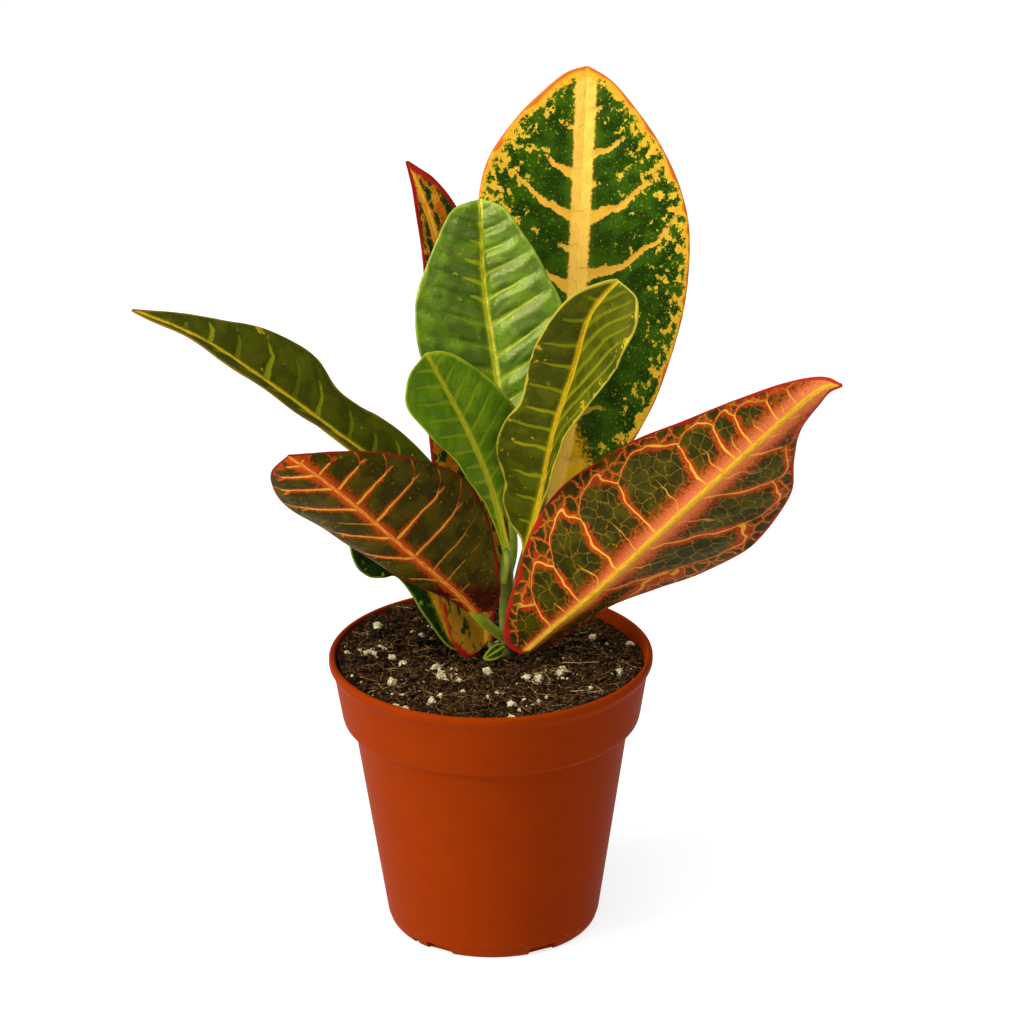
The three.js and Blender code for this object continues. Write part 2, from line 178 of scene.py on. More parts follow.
def turned(name, outline, turns):
    """A closed body turned round the Z axis from an outline of radii and heights in mm."""
    bpy.ops.mesh.primitive_circle_add(vertices=len(outline), fill_type="NOTHING")
    body = bpy.context.object
    body.name = name
    for vertex, (radius, height) in zip(body.data.vertices, outline):
        vertex.co = (radius * MM, 0, height * MM)
    # The circle's last edge would join the outline's two ends, so it is taken out
    ends = {0, len(outline) - 1}
    bpy.ops.object.mode_set(mode="EDIT")
    bpy.ops.mesh.select_mode(type="EDGE")
    bpy.ops.mesh.select_all(action="DESELECT")
    bpy.ops.object.mode_set(mode="OBJECT")
    for edge in body.data.edges:
        edge.select = set(edge.vertices) == ends
    bpy.ops.object.mode_set(mode="EDIT")
    bpy.ops.mesh.delete(type="EDGE")
    bpy.ops.object.mode_set(mode="OBJECT")
    screw = body.modifiers.new("turning", "SCREW")
    screw.steps = turns
    screw.render_steps = turns
    screw.use_merge_vertices = True
    screw.merge_threshold = WELD
    bpy.ops.object.modifier_apply(modifier=screw.name)
    bpy.ops.object.mode_set(mode="EDIT")
    bpy.ops.mesh.select_mode(type="VERT")
    bpy.ops.mesh.select_all(action="SELECT")
    bpy.ops.mesh.remove_doubles(threshold=WELD)
    bpy.ops.mesh.normals_make_consistent(inside=False)
    bpy.ops.object.mode_set(mode="OBJECT")
    return body


pot = turned("nursery_pot", rounded(POT_OUTLINE, 0.5), 144)
for angle, size in [*DRAIN_SLOTS, NOTCH]:
    bpy.ops.mesh.primitive_cube_add(size=1)
    cutter = bpy.context.object
    cutter.data.transform(Matrix.Diagonal([s * MM for s in size] + [1]))
    middle = (0, -(CUT_FROM + size[1] / 2) * MM, (size[2] / 2 - 1) * MM)
    cutter.data.transform(Matrix.Translation(middle))
    cutter.data.transform(Matrix.Rotation(math.radians(angle), 4, "Z"))
    only(pot)
    cut = pot.modifiers.new("drain", "BOOLEAN")
    cut.object = cutter
    cut.operation = "DIFFERENCE"
    cut.solver = "EXACT"
    bpy.ops.object.modifier_apply(modifier=cut.name)
    bpy.data.objects.remove(cutter)
only(pot)
bpy.ops.object.shade_smooth_by_angle(angle=math.radians(32))

# Moulded polypropylene: satin, with a fine spark-eroded grain of about 0.4 mm, slightly
# uneven colour, and pale scuffs where it stands and slides
plastic, shader, add = new_material("moulded_polypropylene")
place = add("TexCoord", out="Object")
height = add("SeparateXYZ", [place], out="Z")
mottle = add("TexNoise", {"Vector": place, "Scale": 90, "Detail": 5, "Roughness": 0.6})
paint = {"Factor": mottle, "A": linear("#7f2802"), "B": linear("#8c2f02")}
paint = add("Mix", paint, "Result", data_type="RGBA")
stretch = add("Mapping", {"Vector": place, "Scale": (260, 260, 1500)})
scratch = add("TexNoise", {"Vector": stretch, "Scale": 1, "Detail": 3})
scuff = add("MapRange", [scratch, 0.6, 0.72])
low = add("MapRange", [height, 0.008, 0.0042])
worn = add("MULTIPLY", [add("MULTIPLY", [scuff, low]), 0.45])
paint = {"Factor": worn, "A": paint, "B": linear("#a8562a")}
paint = add("Mix", paint, "Result", data_type="RGBA")
grain = add("TexNoise", {"Vector": place, "Scale": 2400, "Detail": 2})
grain = add("Bump", {"Height": grain, "Strength": 0.3, "Distance": 0.0002})
gloss = add("MapRange", [mottle, 0, 1, 0.4, 0.55])
feed(shader, {"Base Color": paint, "Normal": grain, "Roughness": gloss, "Specular IOR Level": 0.01})
pot.data.materials.append(plastic)
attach(pot, "root")
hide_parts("pot")

# The potting mix: moist fibrous peat with bark bits, raised in lumps. Its body is turned
# like the pot's inside, and its top is moved up and down into crumbs.
SOIL_FOOT, SOIL_LEVEL = 4.1, 92.6
SOIL_TOP_RADIUS = 50.9
SOIL_FIT = 1.5
SOIL_RINGS = 96
HEAP = 4
STEM_X, STEM_Y = 5.5, 6.5


def soil_height(x, y):
    """Height of the mix in mm: heaped on the left, with a mound at the plant's foot."""
    t = min(max((0.3 * y - x - 8) / 40, 0), 1)
    heap = HEAP * t * t * (3 - 2 * t)
    mound = 1.3 * math.exp(-((x - 12) ** 2 + (y + 8) ** 2) / 60)
    lumps = 0.55 * math.sin(x / 3.1 + 0.7) * math.cos(y / 3.7)
    lumps += 0.45 * math.sin(x / 6.3 - y / 4.9 + 2.1) + 0.4 * math.cos(x / 2.2 + y / 2.6)
    return SOIL_LEVEL + heap + mound + lumps


def crumbs(x, y):
    """Fine relief of the peat in mm: clods of 5 mm, crumbs of 2 mm, grit and pits."""
    clods = noise.noise(Vector((x / 4.6, y / 4.6, 1.7)))
    coarse = noise.noise(Vector((x / 1.9, y / 1.9, 3.1)))
    fine = noise.noise(Vector((x / 0.8, y / 0.8, 8.4)))
    pits = abs(noise.noise(Vector((x / 3.3, y / 3.3, 5.5))))
    return 1.1 * clods + 0.9 * coarse + 0.6 * fine - 2 * pits + 0.35


side = [(r - SOIL_FIT, h + 0.8 * SOIL_FIT) for r, h in POT_OUTSIDE[3:-2]]
outline = [(0, SOIL_FOOT), (FOOT_RADIUS - SOIL_FIT, SOIL_FOOT), *side]
outline += [(SOIL_TOP_RADIUS * (1 - i / SOIL_RINGS), SOIL_LEVEL) for i in range(SOIL_RINGS + 1)]
soil = turned("potting_mix", outline, 288)
for vertex in soil.data.vertices:
    x, y, z = [c / MM for c in vertex.co]
    if z > SOIL_LEVEL - 0.1:
        edge = min((SOIL_TOP_RADIUS - math.hypot(x, y)) / 1.5, 1)
        vertex.co.z = min(soil_height(x, y) + crumbs(x, y) * edge, POT_HEIGHT + 0.4) * MM
only(soil)
bpy.ops.object.shade_smooth()


# The darkest colour lies in the pits of the relief and the palest on its crests: painted shade and
# painted light
SHADED_PITS_AT, LIT_CRESTS_AT = 0.38, 0.68  # noise values of the darkest and palest colour


def mottled_material(name, colours, scale, roughness, depth):
    """A matt mineral or woody surface. One noise of the given scale per metre moves it through its
    colours, from pits to crests, and gives its relief, so its darkest colour is painted shade in the
    pits and its palest is painted light on the crests, over the material's own mottle."""
    material, shader, add = new_material(name)
    place = add("TexCoord", out="Object")
    vary = add("TexNoise", {"Vector": place, "Scale": scale, "Detail": 6, "Roughness": 0.68})
    # The same noise sinks the pits in the bump below, so the colour paints shade into the hollows and
    # light onto the crests
    tone = add("ValToRGB", [vary], "Color")
    ramp = tone.node.color_ramp
    ramp.elements[0].position, ramp.elements[0].color = SHADED_PITS_AT, linear(colours[0])
    ramp.elements[1].position, ramp.elements[1].color = LIT_CRESTS_AT, linear(colours[-1])
    for i, colour in enumerate(colours[1:-1], 1):
        share = i / (len(colours) - 1)
        ramp.elements.new(SHADED_PITS_AT + (LIT_CRESTS_AT - SHADED_PITS_AT) * share).color = linear(colour)
    relief = add("Bump", {"Height": vary, "Strength": 0.8, "Distance": depth})
    feed(shader, {"Base Color": tone, "Normal": relief})
    feed(shader, {"Roughness": roughness, "Specular IOR Level": 0.1})
    return material


# Moist peat: nearly black in its pits, with olive brown crests and no gloss. The black pits and pale
# crests are partly the peat's own colour and partly painted shade and painted light
peat_colours = ["#060301", "#1b0f04", "#3e260d", "#7c5a26"]
moist_peat = mottled_material("moist_peat", peat_colours, scale=620, roughness=0.95, depth=0.0012)
soil.data.materials.append(moist_peat)
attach(soil, "root")
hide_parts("soil")

# Loose matter on the mix: peat crumbs, perlite, bark chips and fine roots. Each kind has
# two to four models, which are copied to seeded places and joined in one piece.
LOOSE_RADIUS = 50
STEM_ROOM = 4


def rough_lump(name, seed, detail, uneven):
    """A small stone-like lump about 2 units across with uneven sides."""
    bpy.ops.mesh.primitive_ico_sphere_add(subdivisions=detail, radius=1)
    lump = bpy.context.object
    lump.name = name
    for vertex in lump.data.vertices:
        shift = noise.noise(vertex.co * 1.7 + Vector((seed, 0, 0)))
        vertex.co *= 1 + uneven * shift
    return lump


def strewn(name, models, material, count, sizes, seed, lift, stretch, spots=()):
    """Copies of the models at seeded places on the mix, joined in one piece. sizes are the
    least and greatest radius in mm, and lift is how many radii the middle lies above the
    mix. spots are x, y and spread of denser clusters."""
    draw = random.Random(seed)
    copies = []
    for i in range(count):
        if spots and i % 2:
            cx, cy, spread = spots[(i // 2) % len(spots)]
            x, y = draw.gauss(cx, spread), draw.gauss(cy, spread)
        else:
            turn, reach = draw.uniform(0, math.tau), LOOSE_RADIUS * math.sqrt(draw.random())
            x, y = reach * math.cos(turn), reach * math.sin(turn)
        size = sizes[0] + (sizes[1] - sizes[0]) * draw.random() ** 2.5
        spin = Matrix.Rotation(draw.uniform(0, math.tau), 4, "Z")
        spin = spin @ Matrix.Rotation(draw.uniform(-0.6, 0.6), 4, "X")
        spin = spin @ Matrix.Rotation(draw.uniform(-0.3, 0.3) / stretch[0], 4, "Y")
        far = math.hypot(x, y) + size * stretch[0] * 0.8
        if far > LOOSE_RADIUS or math.hypot(x - STEM_X, y - STEM_Y) < STEM_ROOM + size:
            continue
        copy = bpy.data.objects.new(name, models[i % len(models)].data.copy())
        z = soil_height(x, y) + crumbs(x, y) + size * lift
        move = Matrix.Translation((x * MM, y * MM, z * MM))
        copy.data.transform(move @ spin @ Matrix.Diagonal([size * s * MM for s in stretch] + [1]))
        bpy.context.scene.collection.objects.link(copy)
        copies.append(copy)
    for model in models:
        bpy.data.objects.remove(model)
    only(copies[0])
    for copy in copies:
        copy.select_set(True)
    bpy.ops.object.join()
    piece = bpy.context.object
    piece.name = name
    piece.data.materials.clear()
    piece.data.materials.append(material)
    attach(piece, "root")


# Peat crumbs: dark, matt and fibrous
crumb_colours = ["#0a0502", "#2e1b09", "#745224"]
crumb_brown = mottled_material("peat_crumb", crumb_colours, scale=900, roughness=0.95, depth=0.0005)
models = [rough_lump("crumb", s, detail=1, uneven=1.2) for s in (1.3, 4.2, 7.7, 9.3)]
strewn("peat_crumbs", models, crumb_brown, 5200, (0.25, 1.3), seed=11, lift=0.1, stretch=(1.3, 1, 0.7))

# Bark and pale straw slivers: flat, split along the grain
bark_colours = ["#2a1206", "#743a18"]
bark_red = mottled_material("composted_bark", bark_colours, scale=500, roughness=0.9, depth=0.0003)
models = [rough_lump("chip", s, detail=1, uneven=0.6) for s in (2.5, 9.1)]
strewn("bark_chips", models, bark_red, 130, (0.5, 1.3), seed=23, lift=0.3, stretch=(2.4, 0.9, 0.35))
straw = mottled_material("dry_straw", ["#6f5630", "#b39a64"], scale=600, roughness=0.85, depth=0.0002)
models = [rough_lump("sliver", s, detail=2, uneven=0.35) for s in (3.5, 6.1)]
by_red_leaf = [(17, -16, 6)]
strewn("straw_slivers", models, straw, 24, (0.5, 1), seed=31, lift=0.5,
       stretch=(3.6, 0.6, 0.3), spots=by_red_leaf)

# Perlite: puffed volcanic glass, cream white and pitted, in clusters round the plant's
# foot, and its broken grit
perlite_colours = ["#8c7c4c", "#cfc092", "#f0e8cc"]
perlite_white = mottled_material("perlite", perlite_colours, scale=1400, roughness=0.8, depth=0.0005)
models = [rough_lump("granule", s, detail=2, uneven=0.6) for s in (1.1, 5.3, 8.9, 12.4)]
CLUSTERS = [
    (-38, 2, 3), (-16, -5, 2.5), (-13, -12, 2.5), (16, -13, 3), (24, -9, 2.5), (-22, -26, 6),
    (12, -30, 7),
]
strewn("perlite_grains", models, perlite_white, 130, (0.55, 1.9), seed=47, lift=0.25,
       stretch=(1, 0.9, 0.8), spots=CLUSTERS)
models = [rough_lump("grit", s, detail=1, uneven=0.7) for s in (2.1, 6.6)]
strewn("perlite_grit", models, perlite_white, 620, (0.15, 0.45), seed=53, lift=0.6,
       stretch=(1, 1, 0.8), spots=CLUSTERS)

# Fine roots and peat fibres: thin threads that lie in loose bends
bpy.ops.mesh.primitive_cylinder_add(vertices=4, radius=1, depth=2, end_fill_type="TRIFAN")
thread = bpy.context.object
thread.data.transform(Matrix.Rotation(math.radians(90), 4, "Y"))
bpy.ops.object.mode_set(mode="EDIT")
for cut_at in (-0.7, -0.4, -0.1, 0.2, 0.5, 0.8):
    bpy.ops.mesh.select_all(action="SELECT")
    bpy.ops.mesh.bisect(plane_co=(cut_at, 0, 0), plane_no=(1, 0, 0))
bpy.ops.object.mode_set(mode="OBJECT")


def bent_threads(name, bends):
    """The straight thread bent by each of the given amounts."""
    made = []
    for bend in bends:
        bent = bpy.data.objects.new(name, thread.data.copy())
        for vertex in bent.data.vertices:
            x = vertex.co.x
            vertex.co.y += 7 * bend * x ** 2 + 3 * math.sin(3.4 * x * bend + bend)
            vertex.co.z += 2.5 * (1 - x ** 2) * abs(bend) + 1.2 * math.sin(5 * x + 4 * bend)
        bpy.context.scene.collection.objects.link(bent)
        made.append(bent)
    return made


fibre_colours = ["#1c1105", "#94703a"]
fibre_brown = mottled_material("peat_fibre", fibre_colours, scale=400, roughness=0.9, depth=0.0001)
models = bent_threads("fibre", (0.5, -0.35, 0.8, -1.1))
strewn("peat_fibres", models, fibre_brown, 1500, (0.08, 0.2), seed=61, lift=1.5, stretch=(24, 1, 1))
root_colours = ["#6e5a35", "#c9b588"]
root_cream = mottled_material("fine_root", root_colours, scale=400, roughness=0.7, depth=0.0001)
models = bent_threads("root", (0.4, -0.6, 0.15))
strewn("fine_roots", models, root_cream, 90, (0.08, 0.2), seed=73, lift=2.2, stretch=(34, 1, 1))
bpy.data.objects.remove(thread)

# The stem: young green wood with corky rings where old leaves stood, and the end bud.
# It is turned on the axis and moved to its hole in the mix.
STEM_RADIUS = 3.1
SCARS = (94, 101, 109, 116)
STEM_OUTLINE = [(0, 22), (STEM_RADIUS, 22), (STEM_RADIUS, 90)]
for scar in SCARS:
    girth = STEM_RADIUS - 0.75 * (scar - SCARS[0]) / 30
    STEM_OUTLINE += [(girth - 0.15, scar - 1.6), (girth, scar), (girth - 0.2, scar + 1)]
STEM_OUTLINE += [(2.3, 124), (1.7, 128.4), (0, 135)]
stem = turned("young_stem", rounded(STEM_OUTLINE, 0.8), 32)
stem.data.transform(Matrix.Translation((STEM_X * MM, STEM_Y * MM, 0)))
only(stem)
bpy.ops.object.shade_smooth()

# Green bark: yellow green above, browner and corky towards the mix
bark, shader, add = new_material("young_green_bark")
place = add("TexCoord", out="Object")
rise = add("MapRange", [add("SeparateXYZ", [place], "Z"), 0.093, 0.112])
fleck = add("TexNoise", {"Vector": place, "Scale": 900, "Detail": 4})
shade = add("MapRange", [add("MULTIPLY_ADD", [fleck, 0.5, rise]), 0.2, 1])
tone = {"Factor": shade, "A": linear("#3d2f12"), "B": linear("#75801a")}
tone = add("Mix", tone, "Result", data_type="RGBA")
relief = add("Bump", {"Height": fleck, "Strength": 0.5, "Distance": 0.0003})
feed(shader, {"Base Color": tone, "Normal": relief, "Roughness": 0.6})
stem.data.materials.append(bark)
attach(stem, "root")
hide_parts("stem")

# The tall leaf at the back: a leathery blade, dark green, with a broad golden midrib and
# golden side veins. Every leaf is one grid laid along its spine, given its thickness, with
# its stalk and midrib joined under it. Lengths are in mm.
BASE_RUN = 7
TIP_HALF_WIDTH = 0.5
BLADE_THICKNESS = 0.55
RIB_RISE, RIB_REACH = 0.35, 1.1  # height and half width of the rise over the midrib
STALK_TAPER = 0.86
STALK_POINTS = 70
SPINE_POINTS = 801
COLUMN_CROWDING = 1.2  # above 1, the grid's columns crowd towards the midrib


def smooth_curve(points, at, lead):
    """The smooth curve through points, read at 0 to 1 of the way through its knots.
    lead is 1 where its ends look past themselves by a step, and 0 where they don't."""
    p = np.array(points, float)
    p = np.vstack([p[0] - lead * (p[1] - p[0]), p, p[-1] + lead * (p[-1] - p[-2])])
    x = np.clip(at, 0, 1) * (len(points) - 1)
    k = np.minimum(x.astype(int), len(points) - 2)
    t = (x - k)[:, None]
    before, start, end, after = p[k], p[k + 1], p[k + 2], p[k + 3]
    leave, arrive = (end - before) / 2, (after - start) / 2
    bend = 2 * t ** 3 - 3 * t ** 2
    setting_off, coming_in = t ** 3 - 2 * t ** 2 + t, t ** 3 - t ** 2
    return (bend + 1) * start + setting_off * leave - bend * end + coming_in * arrive


def unit(rows):
    """The same directions with a length of 1."""
    return rows / np.linalg.norm(rows, axis=-1, keepdims=True)


def spine_frame(leaf, at):
    """Places on the leaf's spine at distances past its petiole, and the directions there:
    along it, out of the upper face, and to the blade's right. It also sets leaf["length"]."""
    curve = smooth_curve(leaf["spine"], np.linspace(0, 1, SPINE_POINTS), 1)
    steps = np.linalg.norm(np.diff(curve, axis=0), axis=1)
    distance = np.concatenate([[0], np.cumsum(steps)]) - leaf["petiole"]
    leaf["length"] = distance[-1]

    def read(where):
        return np.stack([np.interp(where, distance, curve[:, k]) for k in range(3)], -1)

    along = unit(read(at + 0.5) - read(at - 0.5))
    faces = unit(np.array(leaf["face"], float))
    turn = np.clip(at / leaf["length"], 0, 1) * (len(faces) - 1)
    first = np.minimum(turn.astype(int), max(len(faces) - 2, 0))
    second = np.minimum(first + 1, len(faces) - 1)
    share = (turn - first)[..., None]
    face = faces[first] * (1 - share) + faces[second] * share
    face = unit(face - along * np.sum(face * along, -1, keepdims=True))
    return read(at), along, face, np.cross(along, face)


def blade_surface(leaf, share, across):
    """The blade's middle surface, for shares from base to tip and places across it from
    -1 to 1. Gives places, normals, distances along and out, and the half width there."""
    spine_frame(leaf, np.zeros(1))
    place, normal = np.zeros((len(share), 3)), np.zeros((len(share), 3))
    along, out, breadth = np.zeros(len(share)), np.zeros(len(share)), np.zeros(len(share))
    for side, margin in ((-1, "left"), (1, "right")):
        half = across < 0 if side < 0 else across >= 0
        reach = np.abs(across[half])
        edge = smooth_curve(leaf[margin] + [(leaf["length"], TIP_HALF_WIDTH)], share[half], 0)
        width = edge[:, 1]
        along[half] = leaf["length"] * share[half] * (1 - reach) + edge[:, 0] * reach
        held = np.clip(along[half], min(BASE_RUN, leaf["length"] / 4), leaf["length"])
        spot, forward, face, right = spine_frame(leaf, held)
        start = math.radians(leaf["fold"][side > 0])
        bend = math.radians(leaf["curl"][side > 0]) + 1e-6
        angle = start + bend * reach
        wide = (width * (np.sin(angle) - math.sin(start)) / bend)[:, None]
        rise = (width * (math.cos(start) - np.cos(angle)) / bend)[:, None]
        tilt = (angle * np.minimum(reach * 6, 1))[:, None]
        place[half] = spot + forward * (along[half] - held)[:, None] + right * side * wide + face * rise
        normal[half] = unit(face * np.cos(tilt) - right * side * np.sin(tilt))
        out[half] = side * width * reach
        breadth[half] = width
    return place, normal, along, out, breadth


def vein_fields(leaf, along, out, breadth):
    """What the leaf's skin needs to know at each place: the number of the side vein it lies
    at, counted along the midrib, the distance between veins, and how far and how strongly
    the nearest one runs."""
    names = ("vein_count", "vein_gap", "vein_end", "vein_tone")
    fields = {name: np.zeros(len(along)) for name in names}
    for side, margin in ((-1, "left"), (1, "right")):
        veins = leaf.get("veins_" + margin) or leaf["veins"]
        course = leaf.get("course_" + margin) or leaf["course"]
        half = out < 0 if side < 0 else out >= 0
        width = np.maximum(breadth[half], 0.5)
        reach = np.abs(out[half]) / width
        reaches, leans = np.array(course, float).T
        foot = along[half] - width * np.interp(reach, reaches, leans)
        slope = np.interp(reach + 0.05, reaches, leans) - np.interp(reach - 0.05, reaches, leans)
        starts = [vein[0] for vein in veins]
        last = len(starts) - 1
        starts = np.array([3 * starts[0] - 2 * starts[1], *starts, 4 * starts[-1] - 3 * starts[-2]])
        numbers = np.array([-2, *range(last + 1), last + 3])
        count = np.interp(foot, starts, numbers)
        gap = np.interp(foot, (starts[1:] + starts[:-1]) / 2, np.diff(starts) / np.diff(numbers))
        nearest = np.clip(np.round(count), 0, last).astype(int)
        fields["vein_count"][half] = count
        fields["vein_gap"][half] = gap / np.sqrt(1 + (slope * 10) ** 2)
        fields["vein_end"][half] = np.array([vein[1] for vein in veins])[nearest]
        beyond = np.abs(count - nearest) > 0.6
        fields["vein_tone"][half] = np.where(beyond, 0, np.array([vein[2] for vein in veins])[nearest])
    return fields


def leaf_piece(node, leaf, materials):
    """Models one leaf: the blade's grid in its place, its thickness, and its stalk. The
    materials are the upper skin, the underside, the stalk, and the midrib under the blade."""
    rows, columns = leaf["grid"]
    bpy.ops.mesh.primitive_grid_add(x_subdivisions=columns, y_subdivisions=rows, size=2)
    blade = bpy.context.object
    mesh = blade.data
    grid = np.zeros(len(mesh.vertices) * 3)
    mesh.vertices.foreach_get("co", grid)
    share, across = (grid[1::3] + 1) / 2, grid[0::3]
    across = np.sign(across) * np.abs(across) ** COLUMN_CROWDING
    place, normal, along, out, breadth = blade_surface(leaf, share, across)
    reach = np.abs(across)
    fields = vein_fields(leaf, along, out, breadth)
    # The blade swells between its side veins, wrinkles and crinkles in waves of 2 to 9 mm, and
    # waves at its margin. All of it fades out at the midrib, the margin and the base
    swell, wrinkle, crinkle = leaf["relief"]
    middle = np.clip(reach * 5, 0, 1) * np.clip((1 - reach) * 5, 0, 1) * np.minimum(breadth / 10, 1)
    lift = swell * np.abs(np.sin(math.pi * fields["vein_count"])) ** 0.7
    lift += wrinkle * np.sin(math.tau * 2 * fields["vein_count"] + 1.3 * np.sin(out / 3.1 + along / 9))
    ripple = np.sin(along / 2.3 + 2 * np.sin(out / 3.7))
    lift += crinkle * ripple * np.cos(out / 2.9 + 1.7 * np.sin(along / 5.3))
    lift *= middle * np.clip(share * 6, 0, 1)
    height, length = leaf["wave"]
    wave = np.sin(along / length * math.tau + (out < 0) * 2.1) * reach ** 3
    lift += height * wave * np.clip(share * 5, 0, 1) * np.clip((1 - share) * 5, 0, 1)
    lift += RIB_RISE * np.exp(-(out / RIB_REACH) ** 2) * (1 - share)
    place = place + normal * lift[:, None]
    mesh.vertices.foreach_set("co", (place * MM).ravel())
    corner = np.zeros(len(mesh.loops), dtype=np.int32)
    mesh.loops.foreach_get("vertex_index", corner)
    flat = mesh.uv_layers.active
    flat.name = "blade"
    flat.data.foreach_set("uv", np.stack([along[corner] / 10, out[corner] / 10], -1).ravel())
    fields.update(reach=reach, half_width=breadth, share=share)
    for name, values in fields.items():
        mesh.attributes.new(name, "FLOAT", "POINT").data.foreach_set("value", values.astype(np.float32))
    for material in materials:
        mesh.materials.append(material)
    only(blade)
    thick = blade.modifiers.new("blade_thickness", "SOLIDIFY")
    thick.thickness = BLADE_THICKNESS * MM
    thick.offset = 0
    thick.material_offset = 1
    thick.material_offset_rim = 0
    bpy.ops.object.modifier_apply(modifier=thick.name)
    bpy.ops.object.shade_smooth()
    # The stalk runs on as the midrib, and lies in the angle between the two halves
    at = np.linspace(-leaf["petiole"], leaf["length"] - 1, STALK_POINTS)
    line, _, face, right = spine_frame(leaf, at)
    girth = leaf["stalk"] * (1 - STALK_TAPER * np.clip(at / leaf["length"], 0, 1))
    left_fold, right_fold = (math.radians(f) for f in leaf["fold"])
    lean = (left_fold - right_fold) / 2
    opening = min((math.pi + left_fold + right_fold) / 2, math.pi / 2)
    sunk = np.clip((at + 4) / 9, 0, 1) * girth / math.sin(opening)
    line = (line - (face * math.cos(lean) + right * math.sin(lean)) * sunk[:, None]) * MM
    bpy.ops.curve.primitive_nurbs_path_add()
    stalk = bpy.context.object
    stalk.data.splines.clear()
    path = stalk.data.splines.new("POLY")
    path.points.add(len(at) - 1)
    for point, where, radius in zip(path.points, line, girth):
        point.co = (*where, 1)
        point.radius = radius
    stalk.data.bevel_depth = MM
    stalk.data.bevel_resolution = 2
    stalk.data.use_fill_caps = True
    bpy.ops.object.convert(target="MESH")
    stalk = bpy.context.object
    stalk.data.materials.clear()
    for material in materials:
        stalk.data.materials.append(material)
    for polygon in stalk.data.polygons:
        nearest = np.argmin(np.linalg.norm(line - np.array(polygon.center), axis=1))
        polygon.material_index = 3 if at[nearest] > 2 else 2
    bpy.ops.object.shade_smooth()
    only(blade)
    stalk.select_set(True)
    bpy.ops.object.join()
    blade.name = node + "_fine"
    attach(blade, "root")
    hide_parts(node)


# How a living leaf's skin is drawn. Lengths are mm, reaches run from 0 at the midrib to 1 at
# the margin, and noise scales are per cm. Each leaf changes what it needs to.
PLAIN_SKIN = {
    "wander": 0.1,  # how far side veins stray, in vein spacings
    "vein": (0.5, 0.25, 1, 1.6),  # half width at start and end, power of the taper, softness
    "ragged": 0.2,  # unevenness of vein edges
    "arch": (0.7, 0.15, 0, 99),  # where vein ends arch over, how far, strength, length of a fork
    "between": None,  # half width and end of the weak veins between the side veins
    "net": (2.6, 0.06, 0.4, 0.2),  # cells per cm, line width in cells, strength outside and inside
    "midrib": (1.5, 0.8, 0.3),  # half width at base and tip, unevenness
    "halo": None,  # half widths at side veins, along the midrib and at the net, taper, strength
    "blotch": None,  # scale, threshold, gain outwards, near veins and to the tip, stretch
    "speck": None,  # scale and threshold of the smallest spots
    "hem": (0.8, 0.9, 0.3),  # width of the coloured margin, strength, unevenness
    "base": None,  # end share of a tint at the base, and how far it draws in towards the margin
    "tip": None,  # start share of a tint at the tip
    "gloss": (0.36, 0.5),  # least and greatest roughness
    "shine": 0.1,  # specular level of its wax
}

# Settings that many of the skin's nodes share. The four last numbers of a MapRange list are
# the range that it reads and the range that it gives, which is 0 to 1 where none is given.
SMOOTH = {"interpolation_type": "SMOOTHSTEP"}
FLAT = {"noise_dimensions": "2D"}
CM_IN_MM = 10
WAX_TINT = "#fff2a0"


